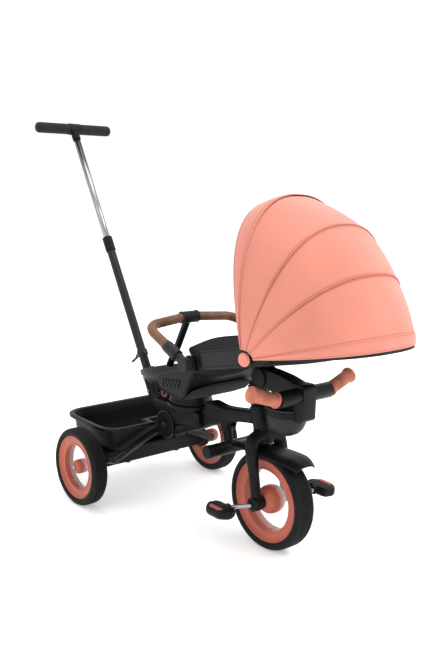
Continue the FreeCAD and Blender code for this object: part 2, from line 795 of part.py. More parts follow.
def seat():
    end = size.pan_end
    floor = size.turntable_top
    wall = size.pan_wall
    rim = [(25, 362), (85, 374), (130, 384), (190, 400), (250, 418), (end + 1, 440)]
    base = [(end + 1, floor + 18), (290, floor), (110, floor), (60, floor + 8), (25, floor + 20)]
    outer = prism(pan_outline(0), floor - 1, 450).common(plate(rim + base, -200, 200))
    above = [(10, 500), (end - 5, 500)]
    under = [(end - 5, floor + 15), (290, floor), (110, floor), (60, floor + 8), (10, floor + 22)]
    raised = [(x, z + wall) for x, z in under]
    hollow = prism(pan_outline(wall), floor - 1, 500).common(plate(above + raised, -200, 200))
    hx, hz = size.hub_x, size.hub_z
    bracket = [(236, 404), (256, 372), (end, 366), (hx - 4, 398)]
    bracket += [(hx + 18, hz - 6), (hx - 8, hz + 16), (end - 2, 440)]
    inner, outside = size.bracket_inner, size.bracket_outer
    plates = mirrored_plate(bracket, inner, outside)
    hubs = mirrored_disc(size.hub_radius, hx, hz, inner, outside)
    ribs = mirrored_plate([(240, 400), (256, 376), (end - 6, 370), (end - 6, 436)], 120, inner)
    shape = outer.fuse([plates, hubs, ribs]).cut(hollow)
    shape = shape.cut(disc(size.hub_pin_radius, hx, hz, -200, 200))
    keep_shape("seat_pan", shape.removeSplitter())

    table = put("Cylinder", ("swivel_x", "0", "deck_z + 14 + clear_gap"), None,
                Radius="turntable_radius", Height="turntable_top - deck_z - 14 - clear_gap")
    spindle = put("Cylinder", ("swivel_x", "0", "deck_z + 2"), None, Radius="14", Height="14")
    keep("turntable", join(table, spindle))

    pad_floor = floor + wall
    pad_plan = [(x + 12 * (1 - x / end), max(0, w - 18 * (w > 0))) for x, w in pan_outline(0)]
    pad = prism(pad_plan, pad_floor, pad_floor + 60)
    slab = plate([(66, pad_floor + 9), (112, pad_floor + 0.4), (286, pad_floor + 0.4), (316, pad_floor + 14),
                  (316, pad_floor + 28), (286, pad_floor + 14), (112, pad_floor + 14), (66, pad_floor + 21)], -200, 200)
    keep_shape("seat_pad", pad.common(slab))
    pins = mirrored_disc(size.hub_pin_radius, hx, hz, size.back_half - 6, 159)
    pins = pins.fuse(mirrored_disc(12, hx, hz, 158.4, 163))
    keep_shape("hub_pins", pins.removeSplitter())


def back_frame(shape):
    """Moves a shape drawn along X from the hub line to the reclined backrest."""
    placed = shape.copy()
    placed.rotate(Vector(0, 0, 0), Vector(0, -1, 0), size.recline_deg)
    placed.translate(Vector(size.hub_x, 0, size.hub_z))
    return placed


def round_head(box, radius, far):
    """Rounds the two upright edges at the head end."""
    upright = [edge for edge in box.Edges if edge.BoundBox.ZLength > 1 and edge.BoundBox.YLength < 0.1]
    head = [edge for edge in upright if edge.BoundBox.Center.x > far - 1]
    return box.makeFillet(radius, head)


def backrest():
    half, wall = size.back_half, size.back_wall
    start, end = size.back_from, size.back_to
    low, high = size.back_low, size.back_high
    outer = Part.makeBox(end - start, 2 * half, high - low, Vector(start, -half, low))
    outer = round_head(outer, 90, end)
    inner = Part.makeBox(end - start - 2 * wall, 2 * (half - wall), high - low,
                         Vector(start + wall, wall - half, low + wall))
    inner = round_head(inner, 90 - wall, end - wall)
    shell = back_frame(outer.cut(inner))
    hx, hz = size.hub_x, size.hub_z
    lug = mirrored_disc(16, hx, hz, half - wall, half)
    arm_outline = [(0, -15), (start + 14, -20), (start + 14, 26), (0, 15)]
    arm = back_frame(mirrored_plate(arm_outline, half - wall, half))
    cx, cz = size.canopy_x, size.canopy_z
    first = size.hoop_first - size.hoop_thick - size.clear_gap
    boss = mirrored_disc(15, cx, cz, half - 1, first)
    last = size.hoop_first + 3 * size.hoop_step
    pin = mirrored_disc(5, cx, cz, first - 1, last + 1)
    shape = shell.fuse([lug, arm, boss, pin])
    shape = shape.cut(disc(size.hub_pin_radius + size.run_gap, hx, hz, -200, 200))
    keep_shape("backrest", shape.removeSplitter())

    pad = Part.makeBox(end - start - 2 * wall - 10, 2 * (half - wall) - 10, 15,
                       Vector(start + wall + 5, wall - half + 5, low + wall + 0.2))
    pad = round_head(pad, 78, end - wall - 5)
    keep_shape("back_pad", back_frame(pad))
    top = low + wall + 15.4
    straps = [Part.makeBox(250, 36, 4, Vector(60, y - 18, top)) for y in (-50, 50)]
    keep_shape("harness", back_frame(straps[0].fuse(straps[1])))


def guard_rail():
    hx, hz = size.hub_x, size.hub_z
    rise = size.rail_rise_deg
    half = size.rail_half
    eye_in, eye_out = size.bracket_outer + size.clear_gap, 158

    def socket(side):
        near = polar(hx, hz, rise, 36)
        far = polar(hx, hz, rise, 82)
        tube = rod((near[0], side * half, near[1]), (far[0], side * half, far[1]), size.rail_socket_radius)
        low, high = sorted((side * eye_in, side * eye_out))
        eye = disc(17, hx, hz, low, high)
        a, b = polar(hx, hz, rise + 90, 10), polar(hx, hz, rise - 90, 10)
        c, d = polar(near[0], near[1], rise - 90, 10), polar(near[0], near[1], rise + 90, 10)
        neck = plate([a, b, c, d], low, high)
        bore = disc(size.hub_pin_radius + size.run_gap, hx, hz, low - 1, high + 1)
        return tube.fuse([eye, neck]).cut(bore)

    start = polar(hx, hz, rise, 60)
    corner = polar(hx, hz, rise, size.rail_reach - 20)
    bar_x, bar_z = polar(hx, hz, rise, size.rail_reach)
    side_points = [(start[0], half, start[1]), (corner[0], half, corner[1]), (bar_x, 26, bar_z)]
    points = side_points + [(x, -y, z) for x, y, z in reversed(side_points)]
    tube = curved_rod(points, size.rail_radius, size.rail_bend)
    keep_shape("guard_rail", tube)
    keep_shape("rail_sockets", both_sides(socket).cut(tube))
    clamp = disc(16, bar_x, bar_z, -25, 25)
    post = bent_rod([(bar_x - 9, 0, bar_z - 12), (129, 0, 446), (92, 0, 384)], 10)
    keep_shape("rail_clamp", clamp.fuse(post).cut(tube).removeSplitter())


# ---------------------------------------------------------------- canopy

HOOPS = (("head", 16.6, 246), ("low", 47.6, 258), ("high", 73.1, 301), ("front", 100.2, 351))


def dome_curve(half, reach, cut_low):
    """A superellipse arc in the hoop's own plane: across in Y, away from the pivot in X."""
    power = 2 / size.dome_power
    points = []
    first = math.asin((cut_low / reach) ** (1 / power)) if cut_low else 0
    steps = 24
    for step in range(steps + 1):
        angle = first + (math.pi - 2 * first) * step / steps
        across = math.copysign(abs(math.cos(angle)) ** power, math.cos(angle)) * half
        points.append(Vector(reach * math.sin(angle) ** power, -across, 0))
    curve = Part.BSplineCurve()
    curve.interpolate(points)
    return curve.toShape(), points


def hoop_face(half, reach, thick, cut_low):
    outer, far = dome_curve(half, reach, cut_low)
    inner, near = dome_curve(half - thick, reach - thick, cut_low)
    ends = [Part.LineSegment(far[i], near[i]).toShape() for i in (0, -1)]
    return Part.Wire(Part.__sortEdges__([outer, ends[1], inner, ends[0]]))


def hoop_place(shape, degrees):
    placed = shape.copy()
    placed.rotate(Vector(0, 0, 0), Vector(0, -1, 0), degrees)
    placed.translate(Vector(size.canopy_x, 0, size.canopy_z))
    return placed


def canopy():
    thick, width = size.hoop_thick, size.hoop_width
    for index, (word, degrees, reach) in enumerate(HOOPS):
        half = size.hoop_first + index * size.hoop_step
        face = Part.Face(hoop_face(half, reach, thick, 6))
        strip = face.extrude(Vector(0, 0, width))
        strip.translate(Vector(0, 0, -width / 2))
        eye = mirrored_disc(11, 0, 0, half - thick, half)
        hole = mirrored_disc(5 + size.run_gap, 0, 0, half - thick - 1, half + 1)
        keep_shape(f"canopy_hoop_{word}", hoop_place(strip.fuse(eye).cut(hole).removeSplitter(), degrees))
    skin = size.fabric_thick
    for index in range(3):
        lower, upper = HOOPS[index], HOOPS[index + 1]
        wires = []
        for place, (word, degrees, reach) in ((index, lower), (index + 1, upper)):
            half = size.hoop_first + place * size.hoop_step + size.panel_gap + skin
            start_gap = 0.4 if place == index and index else 0
            face = hoop_face(half, reach + size.panel_gap + skin, skin, 24)
            wires.append(hoop_place(face, degrees + start_gap))
        keep_shape(f"canopy_panel_{lower[0]}", Part.makeLoft(wires, True, True))


def build():
    rear_wheels()
    front_wheel()
    cranks_and_pedals()
    beam = axle_beam()
    rear_axle()
    brake_levers()
    storage_bin()
    cross = fold_lug()
    rear_struts(cross, beam)
    fold_housing()
    fold_pin()
    main_beam()
    head_bushes()
    swivel_base()
    swivel_knob()
    push_socket()
    lower_tube()
    telescope_collar()
    release_lever()
    push_handle()
    frame_screws()
    footrest()
    steering()
    handlebar()
    seat()
    backrest()
    guard_rail()
    canopy()


def export():
    """Recomputes, refuses a failed object or a bad shape, and writes one STEP file per sub-part."""
    doc.recompute()
    for made in doc.Objects:
        if {"Invalid", "Error"} & set(made.State):
            raise RuntimeError(f"{made.Label} failed: {made.State}")
    bad = [m.Label for m in nodes if m.Shape.isNull() or not m.Shape.isValid() or not m.Shape.Solids]
    if bad:
        raise RuntimeError(f"bad shapes: {bad}")
    os.makedirs("parts", exist_ok=True)
    for made in nodes:
        made.Shape.exportStep(f"parts/{made.Label}.step")
    print(len(nodes), "sub-parts")


build()
export()
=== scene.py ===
"""The looks of a children's push-along tricycle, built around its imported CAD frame.

Lengths in the helpers are millimetres measured from the ground point under the rear axle;
at() turns them into the row's metres.
"""

import json
import math
import random

import bmesh
import bpy
from mathutils import Matrix, Quaternion, Vector

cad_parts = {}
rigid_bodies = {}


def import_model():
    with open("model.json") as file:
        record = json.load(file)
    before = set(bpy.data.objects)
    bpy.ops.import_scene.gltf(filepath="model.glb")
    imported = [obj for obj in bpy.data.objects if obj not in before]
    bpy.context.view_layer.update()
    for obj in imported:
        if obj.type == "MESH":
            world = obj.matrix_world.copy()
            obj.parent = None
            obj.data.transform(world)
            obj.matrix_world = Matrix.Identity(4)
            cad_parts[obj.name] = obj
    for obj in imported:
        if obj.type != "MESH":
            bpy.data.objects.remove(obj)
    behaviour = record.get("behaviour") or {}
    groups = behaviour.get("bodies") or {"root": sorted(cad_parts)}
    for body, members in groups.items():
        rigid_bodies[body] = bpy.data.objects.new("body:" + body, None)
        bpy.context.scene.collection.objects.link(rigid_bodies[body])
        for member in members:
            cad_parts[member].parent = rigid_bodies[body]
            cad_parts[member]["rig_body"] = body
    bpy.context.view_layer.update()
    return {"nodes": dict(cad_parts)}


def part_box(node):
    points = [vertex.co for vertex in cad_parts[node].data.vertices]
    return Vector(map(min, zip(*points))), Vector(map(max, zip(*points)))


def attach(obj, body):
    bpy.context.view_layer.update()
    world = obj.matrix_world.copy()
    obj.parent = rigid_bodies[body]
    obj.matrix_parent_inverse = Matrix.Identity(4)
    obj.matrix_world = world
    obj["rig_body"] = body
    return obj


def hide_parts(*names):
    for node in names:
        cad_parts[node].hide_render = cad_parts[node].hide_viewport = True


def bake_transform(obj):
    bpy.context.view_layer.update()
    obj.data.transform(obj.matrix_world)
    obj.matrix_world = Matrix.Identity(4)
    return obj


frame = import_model()
random.seed(7)

tyre_low, tyre_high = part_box("rear_tyre_left")
AXLE_X = (tyre_low.x + tyre_high.x) / 2
LEAN = math.radians(30.6)  # of the push handle, back from upright
RAKE = math.radians(15.4)  # of the steering axis
RECLINE = math.radians(13.65)  # of the backrest, up from level
REAR_HUB = 108  # height of the rear axle
# (x, z) of the backrest's hubs, the canopy's pivots, the frame's hinge, the handlebar's drum,
# the front wheel's centre, the handlebar's pod and the seat lock's knob
HUB = (359, 457)
CANOPY = (620, 522)
FOLD = (121, 223)
DRUM = (480, 430)
WHEEL = (518, 125)
POD = (560, 352)
KNOB = (102, 309.5)
SIDES = ((-1, "right"), (1, "left"))


def at(x, y, z):
    return Vector((AXLE_X + x / 1000, y / 1000, z / 1000))


def beside(place, y):
    return at(place[0], y, place[1])


def on_back(s, y, n):
    """A point on the backrest: s along it from the hubs, n out of its face."""
    c, d = math.cos(RECLINE), math.sin(RECLINE)
    return at(HUB[0] + s * c - n * d, y, HUB[1] + s * d + n * c)


def on_push(along, out=0, y=0):
    x = 33 - along * math.sin(LEAN) - out * math.cos(LEAN)
    return at(x, y, 267 + along * math.cos(LEAN) - out * math.sin(LEAN))


def on_head(along, ahead=0, y=0):
    """A point on the steering axis, or ahead of it square to the axis."""
    x = 484 - along * math.sin(RAKE) + ahead * math.cos(RAKE)
    return at(x, y, 267 + along * math.cos(RAKE) + ahead * math.sin(RAKE))


def on_canopy(degrees, reach, y):
    angle = math.radians(degrees)
    return at(CANOPY[0] + reach * math.cos(angle), y, CANOPY[1] + reach * math.sin(angle))


# ---- materials


class Shader:
    """A Principled material with procedural colour, roughness and bump."""

    def __init__(self, name, roughness=0.5, metallic=0.0, **fixed):
        self.material = bpy.data.materials.new(name)
        self.material.use_nodes = True
        self.tree = self.material.node_tree
        self.shader = self.tree.nodes["Principled BSDF"]
        self.set(Roughness=roughness, Metallic=metallic, **fixed)
        self.place = self.node("ShaderNodeTexCoord").outputs["Object"]
        self.height = None

    def set(self, **fixed):
        for key, value in fixed.items():
            self.shader.inputs[key.replace("_", " ")].default_value = value

    def node(self, kind, **inputs):
        made = self.tree.nodes.new(kind)
        for key, value in inputs.items():
            socket = made.inputs[key.replace("_", " ")]
            if hasattr(value, "links"):
                self.tree.links.new(value, socket)
            else:
                socket.default_value = value
        return made

    def noise(self, scale, detail=3.0, rough=0.5, stretch=None):
        place = self.place
        if stretch:
            place = self.node("ShaderNodeMapping", Vector=place, Scale=stretch).outputs[0]
        made = self.node("ShaderNodeTexNoise", Vector=place, Scale=scale, Detail=detail, Roughness=rough)
        return made.outputs["Fac"]

    def ramp(self, factor, stops):
        made = self.node("ShaderNodeValToRGB", Fac=factor)
        ramp = made.color_ramp
        while len(ramp.elements) < len(stops):
            ramp.elements.new(0.5)
        for element, (place, colour) in zip(ramp.elements, stops):
            element.position = place
            element.color = colour if len(colour) == 4 else (*colour, 1)
        return made.outputs["Color"]

    def colour(self, base, spread=0.12, scale=18.0, factor=None):
        """Base colour that wanders between a darker and a lighter shade."""
        factor = factor or self.noise(scale, 4)
        low = tuple(c * (1 - spread) for c in base)
        high = tuple(min(1, c * (1 + spread)) for c in base)
        found = self.ramp(factor, [(0.35, low), (0.65, high)])
        self.tree.links.new(found, self.shader.inputs["Base Color"])
        return self

    def rough(self, low, high, scale=40.0):
        found = self.node("ShaderNodeMapRange", Value=self.noise(scale, 5), To_Min=low, To_Max=high)
        self.tree.links.new(found.outputs[0], self.shader.inputs["Roughness"])
        return self

    def bump(self, height, strength, distance):
        made = self.node("ShaderNodeBump", Strength=strength, Distance=distance, Height=height)
        if self.height:
            self.tree.links.new(self.height, made.inputs["Normal"])
        self.height = made.outputs[0]
        self.tree.links.new(self.height, self.shader.inputs["Normal"])
        return self

    def wave(self, scale, direction, distortion=0.0, profile="SIN", place=None):
        made = self.node("ShaderNodeTexWave", Vector=place or self.place, Scale=scale,
                Distortion=distortion)
        made.bands_direction = direction
        made.wave_profile = profile
        return made.outputs["Fac"]

    def mixed(self, a, b, mode="MULTIPLY"):
        made = self.node("ShaderNodeMath")
        made.operation = mode
        self.tree.links.new(a, made.inputs[0])
        self.tree.links.new(b, made.inputs[1])
        return made.outputs[0]


def moulded(name, base, roughness=0.42, grain=0.12, coat=0.0):
    """Moulded plastic: fine spark grain, faint sink marks and slightly uneven gloss."""
    made = Shader(name, roughness, Coat_Weight=coat, Coat_Roughness=0.2, Specular_IOR_Level=0.14)
    made.colour(base, 0.10, 9)
    made.rough(roughness - 0.06, roughness + 0.10, 30)
    made.bump(made.noise(1500, 2), grain, 0.0002)
    made.bump(made.noise(14, 2), 0.08, 0.002)
    return made.material


def woven(name, base, pitch=0.0011, strength=0.35, sheen=0.35, spread=0.05):
    """Plain woven cloth: crossed threads, melange colour and a soft sheen."""
    made = Shader(name, 0.85, Sheen_Weight=sheen * 0.3, Sheen_Roughness=0.45, Specular_IOR_Level=0.2)
    turned = made.node("ShaderNodeMapping", Vector=made.place, Rotation=(0.6, 0.5, 0.78)).outputs[0]
    scale = math.pi / (10 * pitch)
    warp = made.wave(scale, "X", 0.5, place=turned)
    weft = made.wave(scale, "Y", 0.5, place=turned)
    made.colour(base, spread, 7)
    made.bump(made.mixed(warp, weft, "MAXIMUM"), strength, 0.0003)
    made.bump(made.noise(16, 3), 0.16, 0.004)
    return made.material


def leather(name, base):
    made = Shader(name, 0.42, Coat_Weight=0.08, Coat_Roughness=0.3, Specular_IOR_Level=0.35)
    made.colour(base, 0.30, 26)
    made.rough(0.34, 0.56, 60)
    cells = made.node("ShaderNodeTexVoronoi", Vector=made.place, Scale=900.0).outputs["Distance"]
    made.bump(cells, 0.28, 0.0004)
    made.bump(made.noise(45, 4, stretch=(1, 1, 2.5)), 0.25, 0.0016)
    return made.material


def metal(name, base, roughness, brushed=False):
    made = Shader(name, roughness, 1.0)
    made.colour(base, 0.04, 30)
    made.rough(roughness * 0.8, roughness * 1.35, 80)
    if brushed:
        made.bump(made.noise(300, 3, stretch=(1, 8, 1)), 0.12, 0.0002)
    else:
        made.bump(made.noise(60, 2), 0.03, 0.0004)
    return made.material


def rubber(name, base, roughness=0.62):
    made = Shader(name, roughness, Specular_IOR_Level=0.16)
    made.colour(base, 0.25, 35)
    made.rough(roughness - 0.1, roughness + 0.15, 25)
    made.bump(made.noise(700, 3), 0.25, 0.0003)
    return made.material


def foam(name, base):
    made = Shader(name, 0.9, Sheen_Weight=0.06, Specular_IOR_Level=0.25)
    made.colour(base, 0.2, 60)
    cells = made.node("ShaderNodeTexVoronoi", Vector=made.place, Scale=650.0).outputs["Distance"]
    made.bump(cells, 0.5, 0.0006)
    return made.material


def mesh_cloth(name, base):
    """Spacer mesh: rows of small round holes."""
    made = Shader(name, 0.8, Sheen_Weight=0.06, Specular_IOR_Level=0.2)
    cells = made.node("ShaderNodeTexVoronoi", Vector=made.place, Scale=210.0, Randomness=0.12)
    holes = made.ramp(cells.outputs["Distance"], [(0.18, (0.2,) * 3), (0.5, (1,) * 3)])
    made.colour(base, 0.55, factor=holes)
    made.bump(holes, 0.6, 0.0009)
    return made.material


def clear(name):
    made = Shader(name, 0.08, Alpha=0.17, Specular_IOR_Level=0.6)
    made.colour((0.72, 0.74, 0.76), 0.05, 20)
    made.bump(made.noise(50, 2), 0.04, 0.0006)
    made.material.surface_render_method = "BLENDED"
    return made.material


CORAL = (0.62, 0.222, 0.165)
BLACK = moulded("black_plastic", (0.0055, 0.0055, 0.006), 0.38)
SATIN = moulded("satin_black", (0.0075, 0.0075, 0.0082), 0.44, 0.2)
GREY = moulded("grey_plastic", (0.022, 0.0225, 0.024), 0.42)
RIM = moulded("coral_plastic", (0.41, 0.105, 0.068), 0.34, 0.05, 0.15)
TYRE = rubber("tyre_rubber", (0.006, 0.006, 0.0065))
GRIP = rubber("coral_grip", (0.46, 0.145, 0.098), 0.55)
FOAM = foam("handle_foam", (0.013, 0.013, 0.0145))
CHROME = metal("chrome", (0.33, 0.335, 0.345), 0.2)
STEEL = metal("brushed_steel", (0.16, 0.16, 0.17), 0.34, True)
PAINT = moulded("frame_paint", (0.012, 0.012, 0.013), 0.36, 0.06, 0.15)
LEATHER = leather("brown_leather", (0.145, 0.060, 0.027))
CLOTH = woven("coral_cloth", CORAL, sheen=1.0)
LINING = woven("dark_lining", (0.018, 0.017, 0.018), sheen=0.1)
BINDING = woven("coral_binding", tuple(c * 0.93 for c in CORAL), 0.0007, 0.5)
THREAD = woven("coral_thread", tuple(c * 0.78 for c in CORAL), 0.0004, 0.4)
PAD = woven("pad_cloth", (0.014, 0.014, 0.0155), 0.0014, 0.4, 0.12)
MESH = mesh_cloth("spacer_mesh", (0.013, 0.013, 0.0145))
WEB = woven("webbing", (0.010, 0.010, 0.011), 0.0016, 0.6, 0.1)
CLEAR = clear("clear_plastic")

# ---- mesh helpers


def obj(name, mesh, material, body=None, sharp=35):
    made = bpy.data.objects.new(name, mesh)
    bpy.context.scene.collection.objects.link(made)
    mesh.materials.append(material)
    mesh.shade_smooth()
    mesh.set_sharp_from_angle(angle=math.radians(sharp))
    if body:
        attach(made, body)
    return made


def from_data(name, verts, faces, material, body=None, sharp=35):
    mesh = bpy.data.meshes.new(name)
    mesh.from_pydata([tuple(v) for v in verts], [], faces)
    work = bmesh.new()
    work.from_mesh(mesh)
    bmesh.ops.remove_doubles(work, verts=work.verts, dist=1e-6)
    bmesh.ops.recalc_face_normals(work, faces=work.faces)
    work.to_mesh(mesh)
    work.free()
    return obj(name, mesh, material, body, sharp)


def grid_faces(rows, columns, wrap_rows=False, wrap_columns=False):
    faces = []
    for i in range(rows if wrap_rows else rows - 1):
        for j in range(columns if wrap_columns else columns - 1):
            a, b = i * columns + j, i * columns + (j + 1) % columns
            c, d = ((i + 1) % rows) * columns + (j + 1) % columns, ((i + 1) % rows) * columns + j
            faces.append((a, b, c, d))
    return faces


def loft(name, rings, material, body=None, caps=True, sharp=35):
    """A skin over rings that all have the same number of points."""
    count = len(rings[0])
    faces = grid_faces(len(rings), count, wrap_columns=True)
    if caps:
        faces.append(tuple(range(count)))
        faces.append(tuple((len(rings) - 1) * count + k for k in range(count)))
    verts = [v for ring in rings for v in ring]
    return from_data(name, verts, faces, material, body, sharp)


def smooth_line(points, per=8, closed=False):
    """Points on a Catmull-Rom curve through the given ones."""
    points = [Vector(p) for p in points]
    count = len(points)
    out = []
    for i in range(count if closed else count - 1):
        if closed:
            a, b, c, d = (points[(i + k) % count] for k in (-1, 0, 1, 2))
        else:
            a, b, c, d = (points[max(0, min(count - 1, i + k))] for k in (-1, 0, 1, 2))
        for k in range(per):
            t = k / per
            out.append(
                0.5 * (2 * b + (c - a) * t + (2 * a - 5 * b + 4 * c - d) * t * t
                    + (3 * b - a - 3 * c + d) * t ** 3)
            )
    if not closed:
        out.append(points[-1])
    return out


def framed(line, up=Vector((0, 1, 0))):
    """Each point of a line with two axes square to it, carried along without twist."""
    out = []
    side = None
    for i, here in enumerate(line):
        along = (line[min(i + 1, len(line) - 1)] - line[max(i - 1, 0)]).normalized()
        if side is None:
            start = up if abs(along.dot(up)) < 0.95 else Vector((0, 0, 1))
            side = along.cross(start).normalized()
        side = (side - along * side.dot(along)).normalized()
        out.append((here, side, along.cross(side)))
    return out


def sweep(name, line, radii, material, body=None, sides=28, section=None, up=Vector((0, 1, 0))):
    """A round bar, or one of the given section, along a line; radii in millimetres."""
    if not hasattr(radii, "__len__"):
        radii = [radii] * len(line)
    if section is None:
        section = [(math.cos(a), math.sin(a)) for a in (math.tau * k / sides for k in range(sides))]
    rings = []
    for (here, side, other), radius in zip(framed(line, up), radii):
        rings.append([here + (side * u + other * v) * radius / 1000 for u, v in section])
    return loft(name, rings, material, body)


def turned(name, profile, centre, axis, material, body=None, steps=96, closed=False, sharp=35):
    """A turned piece: profile holds (radius, distance along the axis) in millimetres."""
    axis = Vector(axis).normalized()
    side = axis.orthogonal().normalized()
    other = axis.cross(side)
    rings = []
    for k in range(steps):
        angle = math.tau * k / steps
        out = side * math.cos(angle) + other * math.sin(angle)
        rings.append([centre + out * r / 1000 + axis * d / 1000 for r, d in profile])
    verts = [v for ring in rings for v in ring]
    faces = grid_faces(steps, len(profile), wrap_rows=True, wrap_columns=closed)
    return from_data(name, verts, faces, material, body, sharp)


def mirrored(face):
    """A section and its mirror image across the wheel's middle plane."""
    return face + [(r, -y) for r, y in reversed(face)]


def bevelled(made, width, segments=3, angle=35):
    modifier = made.modifiers.new("Bevel", "BEVEL")
    modifier.width = width / 1000
    modifier.segments = segments
    modifier.limit_method = "ANGLE"
    modifier.angle_limit = math.radians(angle)
    modifier.harden_normals = False
    return made


def slab(name, outline, y0, y1, material, body=None, bevel=2.0, place=None, segments=3):
    """A plate with a smooth outline in X and Z (or in a frame of its own), from y0 to y1."""
    place = place or at
    y0, y1 = sorted((y0, y1))
    low = [place(x, y0, z) for x, z in outline]
    high = [place(x, y1, z) for x, z in outline]
    made = loft(name, [low, high], material, body, sharp=50)
    return bevelled(made, bevel, segments) if bevel else made


def outline(points, per=6):
    """A closed smooth outline through (x, z) points."""
    return [(p.x, p.z) for p in smooth_line([(x, 0, z) for x, z in points], per, True)]


def rounded(corners, steps=5):
    """A closed outline with a round at each corner (x, z, radius)."""
    out = []
    count = len(corners)
    for i, (x, z, radius) in enumerate(corners):
        here = Vector((x, z))
        before = Vector(corners[i - 1][:2]) - here
        after = Vector(corners[(i + 1) % count][:2]) - here
        if radius <= 0:
            out.append((x, z))
            continue
        half = before.angle(after) / 2
        reach = min(radius / math.tan(half), before.length * 0.49, after.length * 0.49)
        a, b = here + before.normalized() * reach, here + after.normalized() * reach
        for k in range(steps + 1):
            t = k / steps
            p = a * (1 - t) ** 2 + here * 2 * t * (1 - t) + b * t * t
            out.append((p.x, p.y))
    return out


def thickened(made, thickness):
    modifier = made.modifiers.new("Solidify", "SOLIDIFY")
    modifier.thickness = thickness / 1000
    modifier.offset = -1


def finish_cad(node, material, bevel=1.0, segments=2, sharp=32):
    """Keeps a CAD node, with softened edges and a better material."""
    made = frame["nodes"][node]
    made.data.materials.clear()
    made.data.materials.append(material)
    weld = made.modifiers.new("Weld", "WELD")
    weld.merge_threshold = 2e-5
    if bevel:
        bevelled(made, bevel, segments, 38)
    made.data.shade_smooth()
    made.data.set_sharp_from_angle(angle=math.radians(sharp))
    return made


# ---- wheels


def tyre_profile(radius, inner, half, grooves):
    """Half a tyre's section mirrored: side wall, shoulder and a grooved tread."""
    side = [
        (inner, half * 0.80), (inner + 2, half * 0.90), (inner + 5, half * 0.97), (inner + 9, half),
        (radius - 8, half * 0.985), (radius - 7.4, half * 0.955), (radius - 6.6, half * 0.965),
        (radius - 3.6, half * 0.86), (radius - 1.4, half * 0.74), (radius - 0.5, half * 0.62),
    ]
    tread = []
    pitch = half * 0.60 * 2 / grooves
    for k in range(grooves):
        y = half * 0.60 - (k + 0.5) * pitch
        lift = 0.5 * (1 - (2 * y / half) ** 2)
        top = radius - 0.5 + max(0, lift)
        for step, drop in ((0.40, 0), (0.22, 0), (0.14, 1.0), (-0.14, 1.0), (-0.22, 0), (-0.40, 0)):
            tread.append((min(radius, top) - drop, y + step * pitch))
    return side + tread + [(r, -y) for r, y in reversed(side)]


def wheels():
    for sign, word in SIDES:
        body = f"rear_wheel_{word}"
        centre = at(0, sign * 234, REAR_HUB)
        axis = (0, sign, 0)
        tyre = turned(f"rear_tread_{word}", tyre_profile(108, 87, 23, 7), centre, axis, TYRE, body, 144,
                True)
        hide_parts(f"rear_tyre_{word}")
        rim = [
            (88, 19), (86, 19.8), (84, 18.6), (82, 15.5), (78, 13.2), (70, 12.2), (66.5, 12.6),
            (65, 14.2), (63.2, 14.2), (62.6, 12.6), (62.6, 3), (62.6, -10), (64, -14), (80, -14.5),
            (85, -18), (88, -19),
        ]
        rim = turned(f"rear_rim_{word}", rim, centre, axis, RIM, body, 96, True)
        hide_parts(f"rear_wheel_{word}")
        disc = [(18, 2.6), (30, 2.6), (33, 4.2), (36, 4.2), (39, 2.2), (62.8, 1.6), (62.8, -1.6),
                (39, -1.2), (18, -1)]
        turned(f"rear_disc_{word}", disc, centre, axis, CLEAR, body, 96, True)
        hub = [
            (5.3, -19), (16, -19), (18.5, -16), (20, -8), (20, 6), (19.6, 10), (18.2, 14.5), (15.4, 18),
            (11, 20.6), (8.6, 21.4), (7.8, 20.4), (5.3, 20.4),
        ]
        turned(f"rear_hub_{word}", hub, centre, axis, RIM, body, 64, True)
        cap = [(0, 23.6), (2.4, 23.4), (4, 22.8), (4.6, 21.8), (4.6, 20.6), (0, 20.6)]
        turned(f"rear_cap_{word}", cap, centre, axis, CHROME, body, 40)
    centre = beside(WHEEL, 0)
    axis = (0, 1, 0)
    tyre = turned("front_tread", tyre_profile(125, 104, 29, 9), centre, axis, TYRE, "front_wheel", 160,
            True)
    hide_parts("front_tyre")
    face = [
        (105, 24), (103, 25), (101, 23.4), (99, 20), (95, 17.6), (86, 16.4), (82.5, 16.8), (80.5, 18.6),
        (78.6, 18.6), (78, 16.8),
    ]
    rim = turned("front_rim_ring", mirrored(face), centre, axis, RIM, "front_wheel", 112, True)
    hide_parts("front_rim")
    face = [(34, 3), (46, 3), (49, 5), (53, 5), (56, 2.8), (78.4, 1.8)]
    turned("front_disc", mirrored(face), centre, axis, CLEAR, "front_wheel", 112, True)
    face = [
        (5.3, 31.6), (9, 31.6), (11, 32.6), (14, 32.6), (16, 31), (22, 28.6), (28, 23.6), (32.6, 17),
        (35.4, 8.6), (36, 3),
    ]
    hub = turned("front_hub_ball", mirrored(face), centre, axis, RIM, "front_wheel", 72, True)
    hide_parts("front_hub")
    finish_cad("crank_axle", CHROME, 0)
    for sign, word in SIDES:
        pedal(sign, word)


